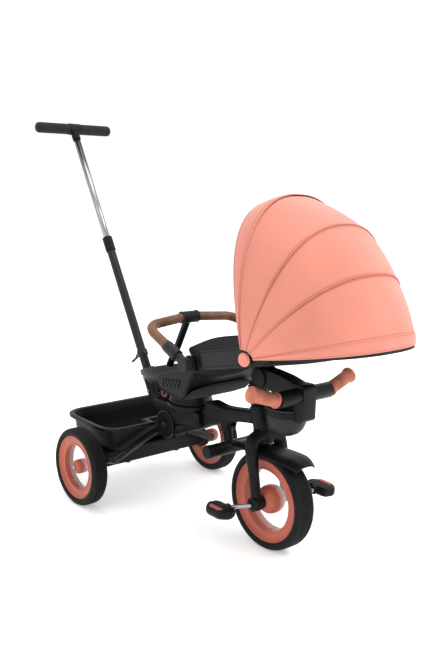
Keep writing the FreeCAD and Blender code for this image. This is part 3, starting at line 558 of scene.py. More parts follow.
def pedal(sign, word):
    """A hollow-sided pedal with ribs and a coral plate at its outer end."""
    x, z = WHEEL[0] + sign * 54, WHEEL[1] + sign * 18
    y0, y1 = 94, 146
    body = f"pedal_{word}"
    plan = rounded([(x - 34, y0 + 2, 14), (x + 34, y0 + 2, 14), (x + 44, y0 + 30, 18), (x + 26, y1, 20),
            (x - 26, y1, 20), (x - 44, y0 + 30, 18)], 8)
    plan = [(px, sign * py) for px, py in plan]
    rings = []
    for dz, inset in ((-11.5, 7), (-10.4, 3.4), (-6, 0.6), (0, 0), (6, 0.6), (10.4, 3.4), (11.6, 7)):
        rings.append([at(x + (px - x) * (1 - inset / 42),
                sign * 120 + (py - sign * 120) * (1 - inset / 27), z + dz) for px, py in plan])
    made = loft(f"{body}_block", rings, BLACK, body, sharp=60)
    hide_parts(body)
    for k in range(7):
        px = x - 30 + k * 10
        slab(f"{body}_rib_{k}", rounded([(px - 1.8, y0 + 12, 1), (px + 1.8, y0 + 12, 1),
                (px + 1.8, y1 - 20, 1), (px - 1.8, y1 - 20, 1)], 2),
                z - 12.4, z + 12.6, BLACK, body, 0.5, lambda a, b, c: at(a, sign * c, b), 1)
    plate = rounded([(x - 25, y1 - 17, 6), (x + 25, y1 - 17, 6), (x + 18, y1 - 4.5, 7),
            (x - 18, y1 - 4.5, 7)])
    slab(f"{body}_plate", plate, z - 12.6, z + 12.9, RIM, body, 1.2, lambda a, b, c: at(a, sign * c, b))
    collar = [(11, -4), (11, 4), (9, 6), (6, 6.5)]
    turned(f"{body}_collar", collar, at(x, sign * (y0 + 2), z), (0, -sign, 0), BLACK, body, 32)


# ---- rear frame


def bin_ring(z, inset, corner):
    back, front, half, notch, deep = -165, 62, 180, 46, 26
    d = inset
    turn = max(corner - d, 6)
    small = max(8 - abs(d) * 0.3, 3)
    corners = [
        (back + d, -half + d, turn), (front - d, -half + d, turn), (front - d, -notch - d, small),
        (deep - d, -notch - d, small), (deep - d, notch + d, small), (front - d, notch + d, small),
        (front - d, half - d, turn), (back + d, half - d, turn),
    ]
    return [at(x, y, z) for x, y in rounded(corners, 9)]


def rear_frame():
    profile = [
        (147, 24), (147.6, 14), (151, 10), (160, 8), (190, 4.6), (196, 4), (197, 2.4), (200, 2),
        (208, 1), (211, 0.2), (211.4, -10), (209.6, -11.4), (209.6, -12.6), (212, -13), (216.4, -12.6),
        (217.8, -10.6), (217.8, -3), (216.6, 1.4), (212, 3.4), (190, 8), (160, 11.6), (153.5, 14),
        (151, 24),
    ]
    rings = [bin_ring(z, inset, 58) for z, inset in profile]
    made = loft("bin_tub", rings, BLACK, "rear_frame", sharp=40)
    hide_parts("storage_bin")
    rib = rounded([(-138, 150.8, 1), (8, 150.8, 1), (8, 153, 1), (-138, 153, 1)], 2)
    for y in (-110, -55, 0, 55, 110):
        slab(f"bin_floor_rib_{y + 110}", rib, y - 2, y + 2, BLACK, "rear_frame", 0.6)
    for node, material, bevel in (
        ("axle_beam", BLACK, 1.6), ("rear_axle", STEEL, 0.3), ("fold_lug", BLACK, 1.4),
        ("rear_struts", PAINT, 0),
    ):
        finish_cad(node, material, bevel)
    for sign, word in SIDES:
        finish_cad(f"brake_lever_{word}", BLACK, 1.2)
        drum = [(26.5, -20), (27.2, -16), (27.2, -3), (26, 0.6), (21, 1.4), (19.5, 0.2), (10, 0.2),
                (8.4, 1.2), (6, 1.2)]
        turned(f"brake_drum_{word}", drum, at(0, sign * 205, REAR_HUB), (0, sign, 0), SATIN, "rear_frame",
               64)
        for k in range(5):
            y = sign * (150 + 6 * k)
            slab(f"brake_tread_{word}_{k}", rounded([(-96, 131, 0.5), (-72, 127.4, 0.5), (-72, 125, 0.5),
                    (-96, 128, 0.5)], 2), y - 1, y + 1, SATIN, f"brake_{word}", 0.3, None, 1)
        box = rounded([(-26, 100, 10), (26, 100, 10), (22, 150, 14), (-22, 150, 14)])
        slab(f"beam_end_{word}", box, sign * 150, sign * 183, BLACK, "rear_frame", 3)


# ---- frame


def main_frame():
    beam = [
        (158, 216), (158, 262), (166, 283), (200, 286), (244, 286), (258, 292), (267, 308), (277, 321),
        (296, 326), (333, 322), (370, 325), (410, 331), (452, 336), (470, 334), (474, 320), (468, 307),
        (440, 303), (394, 294), (345, 277), (295, 259), (240, 232), (200, 219), (178, 213),
    ]
    made = slab("beam_body", outline(beam, 5), -18, 18, SATIN, "frame", 7, None, 4)
    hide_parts("main_beam")
    for sign, word in SIDES:
        inset = [(290, 268), (300, 305), (338, 310), (400, 318), (448, 324), (456, 316), (430, 309),
                (388, 300), (340, 284)]
        slab(f"beam_panel_{word}", outline(inset, 5), sign * 17.6, sign * 18.9, BLACK, "frame", 0.5)
    head = [(15.6, 88), (20.5, 88), (22.6, 86.5), (22.6, 82), (21.4, 80.5), (21.4, 32), (22.6, 30.5),
            (22.6, 26), (20.5, 24.4), (15.6, 24.4)]
    turned("head_tube", head, on_head(0), on_head(1) - on_head(0), BLACK, "frame", 64, True)
    for sign, word in SIDES:
        ear = outline([(338, 286), (341, 268), (344, 259), (350, 256), (356, 259), (359, 268),
                (362, 286)], 4)
        slab(f"footrest_ear_{word}", ear, sign * 14.4, sign * 18.6, BLACK, "frame", 1)
    for node, material, bevel, segments in (
        ("fold_housing", BLACK, 3, 3), ("head_bushes", GREY, 0, 2), ("swivel_base", BLACK, 1.2, 2),
        ("push_socket", SATIN, 2.2, 3), ("frame_screws", STEEL, 0.5, 2), ("lower_tube", PAINT, 0.4, 2),
        ("telescope_collar", BLACK, 1.2, 2), ("height_button", GREY, 0.8, 2),
        ("release_lever", BLACK, 0.6, 2),
    ):
        finish_cad(node, material, bevel, segments)
    covers = None
    for sign, word in SIDES:
        face = [
            (39.5, -2), (40, 0), (39.6, 3.4), (37.6, 5.2), (34.6, 5.6), (32.4, 4.2), (30, 4.2),
            (29, 5.6), (12, 7.2), (10.6, 6.6), (9.4, 5.2), (6.4, 5.2),
        ]
        cover = turned(f"fold_cover_{word}", face, beside(FOLD, sign * 32.4), (0, sign, 0), BLACK,
                "frame", 72)
        covers = covers or cover
    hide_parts("fold_pin")
    knob = [
        (5, -0.5), (18, -0.5), (19.8, 1.4), (20, 4), (20, 12), (18.6, 15.4), (15.6, 16.6), (13.4, 15.6),
        (12.6, 13.8), (5, 13.6), (0, 13.6),
    ]
    made = turned("lock_knob", knob, beside(KNOB, -9.6), (0, -1, 0), BLACK, "swivel_knob", 60)
    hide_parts("swivel_knob")
    ring = [(12.2, 13.4), (12.2, 16.2), (9.4, 16.8), (8.6, 15.4), (8.6, 13.4)]
    turned("lock_knob_ring", ring, beside(KNOB, -9.6), (0, -1, 0), RIM, "swivel_knob", 48)
    end = [(0, 3.4), (6, 3.2), (8, 2), (8, 0), (5, 0)]
    turned("lock_knob_end", end, beside(KNOB, 9.3), (0, 1, 0), BLACK, "swivel_knob", 32)


def push_handle():
    finish_cad("upper_tube", CHROME, 0)
    finish_cad("handle_tee", BLACK, 1.2)
    foam_made = None
    for sign, word in SIDES:
        centre = on_push(895)
        face = [(9, 18), (15.4, 18), (16, 19.4)]
        face += [(16, 24), (16, 118), (15.4, 122.4), (13.8, 125.8), (11, 128), (7, 128.6), (0, 128.6)]
        made = turned(f"foam_grip_{word}", face, centre, (0, sign, 0), FOAM, "push_handle", 48)
        foam_made = foam_made or made
    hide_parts("handle_foam")


def footrest():
    finish_cad("footrest", BLACK, 0.8)
    for sign, word in SIDES:
        cap = [(17.4, -14), (17.6, -13), (17.6, -3), (16.6, 1), (12, 2.8), (0, 3)]
        turned(f"footrest_cap_{word}", cap, at(358, sign * 79, 216), (0, sign, 0), SATIN, "footrest", 40)


# ---- steering


def steering():
    finish_cad("steerer", BLACK, 0)
    side = [(504.6, 50, 200), (500, 50, 224), (496, 50.4, 246), (490.6, 47, 265), (487.4, 36, 275),
            (486, 18, 279.4)]
    arch = smooth_line([at(x, -y, z) for x, y, z in side] + [at(485.6, 0,
            280.4)] + [at(*p) for p in reversed(side)], 6)
    size = [12.4 + 4.8 * math.sin(math.pi * k / (len(arch) - 1)) for k in range(len(arch))]
    section = [(math.cos(a) * (1 + 0.18 * math.cos(a) ** 2),
            math.sin(a)) for a in (math.tau * k / 36 for k in range(36))]
    crown = sweep("crown_arch", arch, size, BLACK, "steering", section=section, up=Vector((1, 0, 0)))
    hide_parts("fork_crown")
    face = [(0, 23.4), (18, 23.4), (20.6, 22.4), (21.6, 19), (22.6, 10), (25, 0), (25, -6), (0, -6)]
    turned("crown_neck", face, on_head(0), on_head(1) - on_head(0), BLACK, "steering", 56)
    finish_cad("fork_blades", BLACK, 0.8)
    finish_cad("handlebar_stem", BLACK, 1.8)
    line = smooth_line([at(x, 0, z) for x, z in (
        (393, 243), (410, 251), (440, 256), (480, 257), (530, 257), (566, 257.5), (596, 256),
        (618, 250), (632, 243),
    )], 5)
    rings = []
    for i, (here, side, other) in enumerate(framed(line)):
        share = i / (len(line) - 1)
        half = 46 * (1 - 0.35 * max(0, share - 0.72) / 0.28) * (1 - 0.25 * max(0, 0.14 - share) / 0.14)
        section = []
        for k in range(17):
            t = -1 + k / 8
            section.append((t * half, -9 * abs(t) ** 3.2))
        top = [here + Vector((0, y / 1000, 0)) + Vector((0, 0, z / 1000)) for y, z in section]
        low = [p - Vector((0, 0, 0.0032)) for p in reversed(top)]
        rings.append(top + low)
    made = loft("mudguard_shell", rings, BLACK, "steering", sharp=50)
    bevelled(made, 0.8, 2)
    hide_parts("mudguard")
    for sign, word in SIDES:
        y = sign * 50
        for k, (near, far) in enumerate(((6, 9), (-7, -5))):
            ridge = [at(492 + near, y, 246), at(501 + far, y, 205), at(507 + far, y, 175)]
            sweep(f"fork_ridge_{word}_{k}", smooth_line(ridge, 6),
                  [4 + 5 * math.sin(math.pi * t / 12) for t in range(13)], BLACK, "steering", 16)
        boss = [(17.4, -16), (18, -12), (18, 12), (16.4, 15), (12, 16.4), (7, 16.8), (6, 16.4)]
        turned(f"fork_boss_{word}", boss, beside(WHEEL, y), (0, sign, 0), BLACK, "steering", 48)


def handlebar():
    finish_cad("handlebar_arm", BLACK, 3, 3)
    finish_cad("handlebar_bar", STEEL, 0)
    for sign, word in SIDES:
        face = [(24.4, -14), (25, -12), (25, -2.4), (23.6, 0), (20, 1), (18.6, 0), (17, -0.6), (6, 0.2),
                (0, 0.4)]
        turned(f"drum_cover_{word}", face, beside(DRUM, sign * 25.2), (0, sign, 0), BLACK,
               "handlebar", 56)
    bowl = [(0, -50), (18, -48), (32, -41), (42, -30), (47.4, -16), (48.6, -4), (48.6, 16), (49.6, 18),
            (49.6, 21), (47, 22), (45.6, 20), (45.4, -4), (40, -26), (30, -38), (0, -45)]
    made = turned("pod_bowl", bowl, beside(POD, 0), (0, 0, 1), GREY, "handlebar", 72)
    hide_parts("handlebar_pod")
    band = [(49.4, 2), (50.6, 3.4), (50.6, 15), (49.4, 16.6), (48.4, 16), (48.4, 2)]
    turned("pod_band", band, beside(POD, 0), (0, 0, 1), BLACK, "handlebar", 72, True)
    grips = None
    for sign, word in SIDES:
        start, end = at(612, sign * 87, 413), at(608, sign * 163, 438)
        along = end - start
        length = along.length * 1000
        face = [(10.4, 1.6), (17.4, 1.6), (18.6, 3), (18.6, 6), (16.2, 8)]
        for k in range(9):
            d = 10 + k * 6.4
            face += [(15.9, d), (16.15, d + 1), (16.15, d + 4), (15.9, d + 5)]
        face += [(16.4, length - 9), (18.8, length - 6.4), (19.6, length - 2), (19, length + 1.4),
                (15, length + 3), (0, length + 3.4)]
        made = turned(f"grip_{word}", face, start, along, GRIP, "handlebar", 56)
        grips = grips or made
    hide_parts("handlebar_grips")


# ---- seat


def seat():
    finish_cad("turntable", BLACK, 1.6)
    ribs = [(58.6, -3), (59.6, -1), (59.6, 3), (58.6, 5), (56, 5)]
    turned("turntable_ring", ribs, at(190, 0, 306), (0, 0, 1), SATIN, "seat", 72)
    half = [(28, 0), (32, 26), (48, 56), (76, 82), (120, 104), (180, 122), (250, 134), (300, 140),
            (334, 142)]
    plan = [(x, -w) for x, w in reversed(half)] + [(x, w) for x, w in half[1:]]
    plan = [(p.x, p.z) for p in smooth_line([(x, 0, w) for x, w in plan], 6)]
    plan += [(336, 142 - 284 * k / 14) for k in range(1, 14)]
    middle = 205

    def floor_at(x, low):
        return low + 10 * max(0, (110 - x) / 80) ** 1.5 + 60 * max(0, (x - 272) / 62) ** 2

    def rim_height(x, y):
        along = max(0, min(1, (x - 28) / 306))
        side = 364 + 52 * along ** 0.9 + 24 * max(0, along - 0.75) / 0.25
        if x > 335:
            side = 408 + 32 * (abs(y) / 142) ** 2.2
        return side

    levels = (
        (0.2, 0.0), (0.42, 0.01), (0.56, 0.04), (0.68, 0.12), (0.78, 0.28), (0.86, 0.48),
        (0.93, 0.72), (0.975, 0.90), (1.0, 1.0),
    )
    rings = []
    for share, rise in levels:
        ring = []
        for x, y in plan:
            px, py = middle + (x - middle) * share, y * share
            floor = min(floor_at(px, 339), rim_height(x, y) - 8)
            ring.append(at(px, py, floor + (rim_height(x, y) - floor) * rise))
        rings.append(ring)
    for long, wide, rise in ((1.025, 1.03, 1.5), (1.03, 1.035, -4)):
        rings.append([at(middle + (x - middle) * long, y * wide, rim_height(x, y) + rise) for x, y in plan])
    for share, rise in reversed(levels):
        ring = []
        for x, y in plan:
            grow = 1.0 if share > 0.99 else 1.02
            px, py = middle + (x - middle) * share * grow, y * share * grow
            floor = min(floor_at(px, 334), rim_height(x, y) - 14)
            ring.append(at(px, py, floor + (rim_height(x, y) - 6 - floor) * rise ** 1.25))
        rings.append(ring)
    made = loft("seat_bucket", rings, SATIN, "seat", sharp=50)
    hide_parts("seat_pan")
    for sign, word in SIDES:
        bracket = [(232, 398), (246, 374), (290, 366), (332, 370), (356, 398), (372, 428), (382, 452),
                (374, 472), (356, 478), (340, 466), (326, 444), (290, 424), (250, 412)]
        slab(f"seat_bracket_{word}", outline(bracket, 5), sign * 138.4, sign * 145, BLACK, "seat", 2.4,
             None, 3)
        for k in range(7):
            x = 250 + k * 10.5
            z = 385 + k * 1.4
            louvre = rounded([(x, z - 8, 1.5), (x + 4.4, z - 8, 1.5), (x + 13, z + 14, 1.5),
                    (x + 8.6, z + 14, 1.5)], 3)
            slab(f"seat_louvre_{word}_{k}", louvre, sign * 144, sign * 148.4, GREY, "seat", 0.8,
                 None, 2)
    pins = None
    for sign, word in SIDES:
        face = [(6, -14), (6, 0), (16.4, 0.4), (18, 2), (18, 4.4), (16, 6.4), (11, 7), (9.6, 5.6), (0, 5.6)]
        made = turned(f"hub_cap_{word}", face, beside(HUB, sign * 158.4), (0, sign, 0), GREY,
                "seat", 48)
        pins = pins or made
    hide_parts("hub_pins")


def cushion(name, place, plan, thick, crown, material, body, channels=()):
    """A crowned pad over a plan, with sewn channels across it, drawn in together at its seam."""
    steps = 46
    low_u, high_u = min(p[0] for p in plan), max(p[0] for p in plan)

    def half_at(u):
        best = 0
        for (u0, w0), (u1, w1) in zip(plan, plan[1:]):
            if min(u0, u1) <= u <= max(u0, u1) and u0 != u1:
                t = (u - u0) / (u1 - u0)
                best = max(best, w0 + (w1 - w0) * t)
        return best

    across = 28
    verts = []
    for i in range(steps + 1):
        e = math.pi * i / steps
        u = (low_u + high_u) / 2 - (high_u - low_u) / 2 * math.cos(e)
        half = half_at(u)
        for j in range(across + 1):
            v = -math.cos(math.pi * j / across)
            edge_u = min(1, math.sin(e) * 2.4) ** 0.5
            edge_v = max(0, 1 - abs(v) ** 3.4) ** 0.5
            swell = edge_u * edge_v
            height = thick * swell * (1 - crown * v * v)
            for spot, depth, width in channels:
                height -= depth * swell * math.exp(-(((u - spot) / width) ** 2))
            verts.append((u, v * half, height))
    top = [place(u, y, h) for u, y, h in verts]
    low = [place(u, y, min(0, h * 0.02) - 0.4) for u, y, h in verts]
    faces = grid_faces(steps + 1, across + 1)
    count = len(top)
    faces += [tuple(count + k for k in reversed(f)) for f in grid_faces(steps + 1, across + 1)]
    border = list(range(across + 1))
    border += [i * (across + 1) + across for i in range(1, steps + 1)]
    border += [steps * (across + 1) + j for j in range(across - 1, -1, -1)]
    border += [i * (across + 1) for i in range(steps - 1, 0, -1)]
    for a, b in zip(border, border[1:] + border[:1]):
        faces.append((a, b, count + b, count + a))
    return from_data(name, top + low, faces, material, body, 60)


def puffed(made, frames=18, pressure=3.0, cap=0.006):
    """Swells a pad with a short cloth simulation and keeps each point within the cap."""
    body = made["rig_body"]
    rest = [v.co.copy() for v in made.data.vertices]
    made.parent = None
    work = made.copy()
    work.data = made.data.copy()
    bpy.context.scene.collection.objects.link(work)
    cloth = work.modifiers.new("Cloth", "CLOTH")
    cloth.settings.use_pressure = True
    cloth.settings.uniform_pressure_force = pressure
    cloth.settings.quality = 5
    cloth.settings.mass = 0.3
    cloth.settings.tension_stiffness = 40
    cloth.settings.compression_stiffness = 40
    cloth.settings.bending_stiffness = 2
    cloth.settings.effector_weights.gravity = 0
    cloth.point_cache.frame_start = 1
    cloth.point_cache.frame_end = frames
    for number in range(1, frames + 1):
        bpy.context.scene.frame_set(number)
    graph = bpy.context.evaluated_depsgraph_get()
    swollen = work.evaluated_get(graph).to_mesh()
    for vertex, start, moved in zip(made.data.vertices, rest, swollen.vertices):
        step = moved.co - start
        if step.length > cap:
            step = step.normalized() * cap
        vertex.co = start + step
    bpy.data.objects.remove(work)
    bpy.context.scene.frame_set(1)
    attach(made, body)
    return made


def soft_goods():
    plan = [(62, 0), (66, 30), (84, 56), (120, 74), (180, 92), (250, 104), (300, 108), (322, 104), (322, 0)]
    pad = cushion("seat_cushion", lambda x, y, h: at(x, y, 339.6 + 8 * max(0, (110 - x) / 60) ** 1.5
            + 60 * max(0, (x - 272) / 62) ** 2 + h),
            plan, 16, 0.2, PAD, "seat", ((130, 5, 5), (200, 5, 5), (265, 5, 5)))
    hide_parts("seat_pad")
    puffed(pad)
    plan = [(18, 0), (18, 112), (24, 120), (300, 122), (350, 112), (384, 88), (404, 50), (412, 0)]
    pad = cushion("back_cushion", lambda s, y, h: on_back(s, y, -16 + h), plan, 19, 0.15, PAD, "backrest",
            ((90, 5, 5), (170, 5, 5), (250, 5, 5), (330, 5, 5)))
    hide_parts("back_pad")
    puffed(pad)
    straps = None
    for sign, word in SIDES:
        line = smooth_line([on_back(s, sign * y, n) for s, y, n in (
            (56, 34, 6), (120, 42, 5.6), (200, 46, 5.6), (280, 48, 5.6), (318, 50, 4), (326, 50, -4),
        )], 6)
        section = [(1, 0.09), (0.98, 0.13), (-0.98, 0.13), (-1, 0.09), (-1, -0.09), (-0.98, -0.13),
                (0.98, -0.13), (1, -0.09)]
        strap = sweep(f"shoulder_strap_{word}", line, 16, WEB, "backrest", section=section,
                up=Vector((0, 0, 1)))
        straps = straps or strap
        cover = [on_back(s, sign * 46, 7) for s in (150, 180, 215, 250)]
        pad_section = [(math.cos(a) * 1.0, math.sin(a) * 0.28) for a in (math.tau * k / 20 for k in range(20))]
        padding = sweep(f"strap_pad_{word}", smooth_line(cover, 6),
                [18 * (1 - 0.25 * abs(k - 9) / 9) for k in range(19)],
                PAD, "backrest", section=pad_section, up=Vector((0, 0, 1)))
    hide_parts("harness")
    buckle = rounded([(40, -18, 8), (66, -22, 8), (66, 22, 8), (40, 18, 8)])
    slab("harness_buckle", buckle, 3, 12, BLACK, "backrest", 2, lambda s, n, y: on_back(s, y, n))


def long_sides(corners, count=10):
    """Adds plain points along the two long sides of a four-cornered outline."""
    a, b, c, d = corners
    share = [(k + 1) / (count + 1) for k in range(count)]
    low = [(a[0] + 60 + (b[0] - a[0] - 170) * t, a[1], 0) for t in share]
    high = [(a[0] + 60 + (b[0] - a[0] - 170) * t, c[1], 0) for t in reversed(share)]
    return [a, *low, b, c, *high, d]


def backrest():
    def wing(s):
        near = max(0, min(1, (s + 26) / 150))
        return 20 * math.sin(math.pi / 2 * near) ** 1.4 * (1 - 0.75 * max(0, (s - 150) / 274) ** 1.2)

    def ring(inset, n):
        foot = inset - 2 - 24 * max(0, min(n + 16, 40)) / 40
        corners = [(foot, -135 + inset, 60), (424 - inset, -135 + inset, 96),
                (424 - inset, 135 - inset, 96), (foot, 135 - inset, 60)]
        return [on_back(s, y, n + wing(s) * max(0, n) / 36) for s, y in rounded(long_sides(corners), 12)]

    profile = [
        (60, -22), (26, -22), (10, -20.5), (3, -15), (0.6, -6), (0, 4), (0, 26), (-0.6, 30), (-0.7, 34),
        (0.6, 36.4), (3, 36.6), (6, 34), (6.4, 26), (6.4, 4), (8, -8), (14, -14.5), (26, -17),
        (60, -17),
    ]
    made = loft("backrest_shell", [ring(i, n) for i, n in profile], SATIN, "backrest", sharp=50)
    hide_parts("backrest")
    for sign, word in SIDES:
        lifts = [1.2 * max(0, math.sin(math.pi * k / 6)) ** 0.5 for k in range(7)]
        verts = [on_back(40 + 10 * i, sign * (134.6 + lift), -14 + k * 6.6)
                for i in range(30) for k, lift in enumerate(lifts)]
        from_data(f"back_mesh_{word}", verts, grid_faces(30, 7), MESH, "backrest", 60)
        for index, n in enumerate((-15, 26.6)):
            line = [on_back(38 + 10 * k, sign * 135.6, n) for k in range(31)]
            sweep(f"back_piping_{word}_{index}", line, 1.6, GREY, "backrest", 10)
        lug = outline([(-14, -6), (-9, -14), (2, -17), (40, -20), (40, 24), (8, 18), (-6, 14), (-14, 6)], 5)
        slab(f"back_lug_{word}", lug, sign * 129, sign * 135.8, BLACK, "backrest", 1.6, on_back)
        centre = beside(CANOPY, sign * 134)
        face = [(20, -2), (20, 3), (17, 6), (15, 12), (15, 46), (13.4, 49), (5, 49.2), (5, 65.4), (0, 65.4)]
        turned(f"canopy_boss_{word}", face, centre, (0, sign, 0), BLACK, "backrest", 40)


# ---- guard rail


def turned_corners(points, bend, steps=10):
    """Points of a line whose inner corners turn on a round of the bend radius."""
    out = [points[0]]
    for before, here, after in zip(points, points[1:], points[2:]):
        back, ahead = (before - here).normalized(), (after - here).normalized()
        half = back.angle(ahead) / 2
        centre = here + (back + ahead).normalized() * (bend / math.sin(half))
        first = here + back * (bend / math.tan(half)) - centre
        axis = ahead.cross(back).normalized()
        turn = math.pi - 2 * half
        out += [centre + Quaternion(axis, turn * k / steps) @ first for k in range(steps + 1)]
    return out + [points[-1]]


def rail_path():
    """The rail's line, in a plane that rises 22.5 degrees from the hubs."""
    rise = math.radians(157.5)
    side = [at(HUB[0] + u * math.cos(rise), y, HUB[1] + u * math.sin(rise)) for u,
            y in ((60, 152), (178, 152), (198, 26))]
    points = side + [Vector((p.x, -p.y, p.z)) for p in reversed(side)]
    out = []
    line = turned_corners(points, 0.046, 14)
    for here, there in zip(line, line[1:]):
        count = max(1, round((there - here).length / 0.006))
        out += [here.lerp(there, k / count) for k in range(count)]
    return out + [line[-1]]


def guard_rail():
    line = rail_path()
    wander = [12.5 + 0.12 * math.sin(i * 1.9) + random.uniform(-0.06, 0.06) for i in range(len(line))]
    made = sweep("rail_leather", line, wander, LEATHER, "guard_rail", 40)
    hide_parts("guard_rail")
    finish_cad("rail_sockets", GREY, 1.6, 3)
    finish_cad("rail_clamp", SATIN, 1.6, 3)
    seam = [here - other * 0.0128 for here, side, other in framed(line)]
    sweep("rail_seam", seam, 0.7, LEATHER, "guard_rail", 8)
    for index, spot in enumerate((line[5], line[-6])):
        step = (line[6] - line[4]) if index == 0 else (line[-5] - line[-7])
        ring = [(12.4, -2), (13.6, -1.4), (13.6, 1.4), (12.4, 2)]
        turned(f"rail_end_ring_{index}", ring, spot, step, LEATHER, "guard_rail", 40)
    for sign in (-1, 1):
        ring = [(13.6, -1.6), (16.8, -1.2), (16.8, 1.2), (13.6, 1.6)]
        turned(f"rail_clamp_ring_{(sign + 1) // 2}", ring, at(176, sign * 25, 533), (0, 1, 0), GREY,
               "guard_rail", 40)


# ---- canopy

HOOPS = ((16.6, 246), (47.6, 258), (73.1, 301), (100.2, 351))
HALF, SPREAD = 191.5, 3.2  # half width of the first hoop, and how much wider each next one is
POWER = 2 / 2.35  # of the hoops' superellipse
FIRST = 24.0  # height at which a hoop's arc starts
LIFT = 3.4  # of the cloth's skin off the hoops
ACROSS, DEEP = 60, 18  # steps over a hoop, and from hoop to hoop
LINE = 90  # steps of a seam or stitch line
FULLNESS = 0.52  # between a flat panel and one that swells with the hoops


def arc(t, half, reach):
    """(across, out) on a hoop's superellipse, t from 0 on the right to 1 on the left."""
    first = math.asin((FIRST / reach) ** (1 / POWER))
    angle = first + (math.pi - 2 * first) * t
    across = -math.copysign(abs(math.cos(angle)) ** POWER, math.cos(angle)) * half
    return across, reach * math.sin(angle) ** POWER


def hoop_point(index, t, lift=0.0, turn=0.0):
    degrees, reach = HOOPS[index]
    y, out = arc(t, HALF + SPREAD * index + lift, reach + lift)
    return on_canopy(degrees + turn, out, y)


def along(points):
    """The length of a line through the points."""
    return sum((b - a).length for a, b in zip(points, points[1:]))


def canopy():
    panels = []
    names = ("head", "low", "high", "front")
    bodies = ("backrest", "canopy_low", "canopy_high", "canopy_front")
    pivot = beside(CANOPY, 0)
    for index in range(3):
        (turn_a, reach_a), (turn_b, reach_b) = HOOPS[index:index + 2]
        verts = []
        for i in range(DEEP + 1):
            s = i / DEEP
            for j in range(ACROSS + 1):
                t = j / ACROSS
                flat = hoop_point(index, t, LIFT).lerp(hoop_point(index + 1, t, LIFT), s)
                y, out = arc(t, HALF + SPREAD * (index + s) + LIFT,
                        reach_a + (reach_b - reach_a) * s + LIFT)
                full = on_canopy(turn_a + (turn_b - turn_a) * s, out, y)
                point = flat.lerp(full, FULLNESS)
                ripple = math.sin(math.pi * s) ** 0.8 * 0.0012 * math.sin(9.0 * t * math.pi + index)
                verts.append(point + (point - pivot).normalized() * ripple * math.sin(math.pi * t) ** 0.5)
        faces = grid_faces(DEEP + 1, ACROSS + 1)
        made = from_data(f"canopy_cloth_{names[index]}", verts, faces, CLOTH, None, 70)
        thickened(made, 1.2)
        panels.append(made)
        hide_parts(f"canopy_panel_{names[index]}")
    for index, made in enumerate(panels):
        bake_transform(made)
    for index, body in enumerate(bodies):
        finish_cad(f"canopy_hoop_{names[index]}", SATIN, 0.3)
        if index in (1, 2):
            line = [hoop_point(index, j / LINE, 4.6) for j in range(LINE + 1)]
            sweep(f"canopy_seam_{index}", line, 1.5, BINDING, body, 10)
            for turn in (-1.1, 1.1):
                stitch = [hoop_point(index, j / LINE, 3.9, turn) for j in range(LINE + 1)]
                sweep(f"canopy_stitch_{index}_{int(turn > 0)}", stitch, 0.5, THREAD, body, 6)
    band("canopy_hem_head", 0, (-6.6, 0.6), bodies[0])
    band("canopy_hem_front", 3, (-1.0, 7.6), bodies[3])
    for sign, word in SIDES:
        face = [(15, -7), (15.6, -3), (14.4, 0), (9, 1.2), (0, 1.6)]
        turned(f"canopy_cap_{word}", face, at(CANOPY[0], sign * 202.6, CANOPY[1] + 2), (0, sign, 0),
               CLOTH, bodies[0], 48)


def flare(index, t):
    """The front hem is wider over the crown than at its ends."""
    return 0.8 + 0.65 * math.sin(math.pi * t) ** 0.7 if index else 1


def band(name, index, turns, body):
    """A doubled hem along a hoop with a stitched edge and a dark lining inside it."""
    verts = []
    steps = 8
    narrow = 0.25 if index else 0.35  # how fast the hem comes down to the hoop, per degree
    for i in range(steps + 1):
        turn = turns[0] + (turns[1] - turns[0]) * i / steps
        swell = 1.6 * math.sin(math.pi * i / steps) ** 0.6
        shrink = -narrow * abs(turn)
        verts += [hoop_point(index, j / ACROSS, 4.4 + swell + shrink, turn * flare(index, j / ACROSS))
                for j in range(ACROSS + 1)]
    made = from_data(name, verts, grid_faces(steps + 1, ACROSS + 1), CLOTH, body, 70)
    thickened(made, 1.6)
    foot = turns[0] - (0 if index else 1.5)
    verts = [hoop_point(index, j / ACROSS, 0.8, (foot + (turns[1] - foot) * i / 4) * flare(index,
            j / ACROSS)) for i in range(5) for j in range(ACROSS + 1)]
    lining = from_data(name + "_lining", verts, grid_faces(5, ACROSS + 1), LINING, body, 70)
    thickened(lining, 1.0)
    for k, share in enumerate((0.12, 0.88)):
        turn = turns[0] + (turns[1] - turns[0]) * share
        line = [hoop_point(index, j / LINE, 5.4 - narrow * abs(turn), turn * flare(index, j / LINE))
                for j in range(LINE + 1)]
        sweep(f"{name}_stitch_{k}", line, 0.5, THREAD, body, 6)


# ---- studio


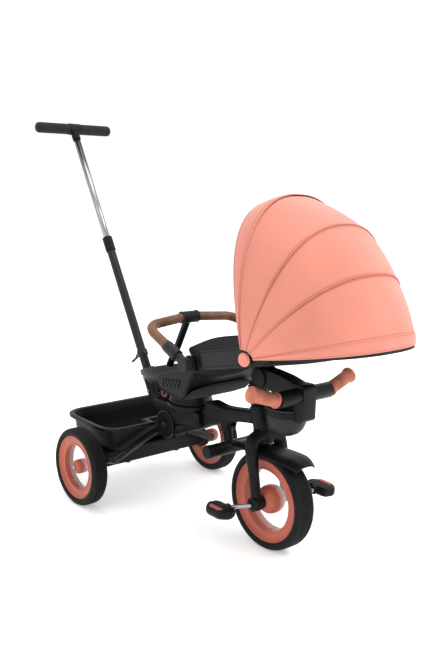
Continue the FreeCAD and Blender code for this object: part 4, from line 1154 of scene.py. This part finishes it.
def studio():
    scene = bpy.context.scene
    mesh = bpy.data.meshes.new("floor")
    edge = 40.0
    corners = [(-edge, -edge, 0), (edge, -edge, 0), (edge, edge, 0), (-edge, edge, 0)]
    mesh.from_pydata(corners, [], [(0, 1, 2, 3)])
    floor = bpy.data.objects.new("floor", mesh)
    scene.collection.objects.link(floor)
    pale = Shader("floor_pale", 0.7)
    pale.colour((0.96, 0.96, 0.96), 0.01, 1)
    pale.set(Emission_Color=(1, 1, 1, 1), Emission_Strength=0.32)
    mesh.materials.append(pale.material)
    world = bpy.data.worlds.new("studio")
    scene.world = world
    world.use_nodes = True
    sky = world.node_tree.nodes["Background"].inputs
    sky["Color"].default_value = (1, 1, 1, 1)
    sky["Strength"].default_value = 1.05
    aim = Vector((0.1, 0, 0.4))
    for name, place, size, power in (
        ("key", (1.9, 0.9, 2.3), 1.4, 34), ("fill", (0.4, -2.6, 1.9), 1.6, 9),
        ("top", (-0.3, 0.2, 3.0), 1.8, 22),
    ):
        light = bpy.data.lights.new(name, "AREA")
        light.size = size
        light.energy = power
        made = bpy.data.objects.new(name, light)
        made.location = place
        made.rotation_mode = "QUATERNION"
        made.rotation_quaternion = (aim - Vector(place)).to_track_quat("-Z", "Y")
        scene.collection.objects.link(made)
    scene.view_settings.view_transform = "Standard"


def camera():
    data = bpy.data.cameras.new("camera")
    data.lens = 44.02
    data.sensor_width = 36
    data.clip_start, data.clip_end = 0.05, 60
    made = bpy.data.objects.new("camera", data)
    bpy.context.scene.collection.objects.link(made)
    right = Vector((0.648477, 0.760792, 0.025952))
    up = Vector((-0.163651, 0.106034, 0.980803))
    ahead = Vector((-0.743435, 0.640275, -0.193265))
    turn = Matrix((right, up, -ahead)).transposed().to_4x4()
    made.matrix_world = Matrix.Translation((AXLE_X + 1.88821, -1.35063, 0.91426)) @ turn
    bpy.context.scene.camera = made


wheels()
rear_frame()
main_frame()
push_handle()
footrest()
steering()
handlebar()
seat()
backrest()
soft_goods()
guard_rail()
canopy()
studio()
camera()
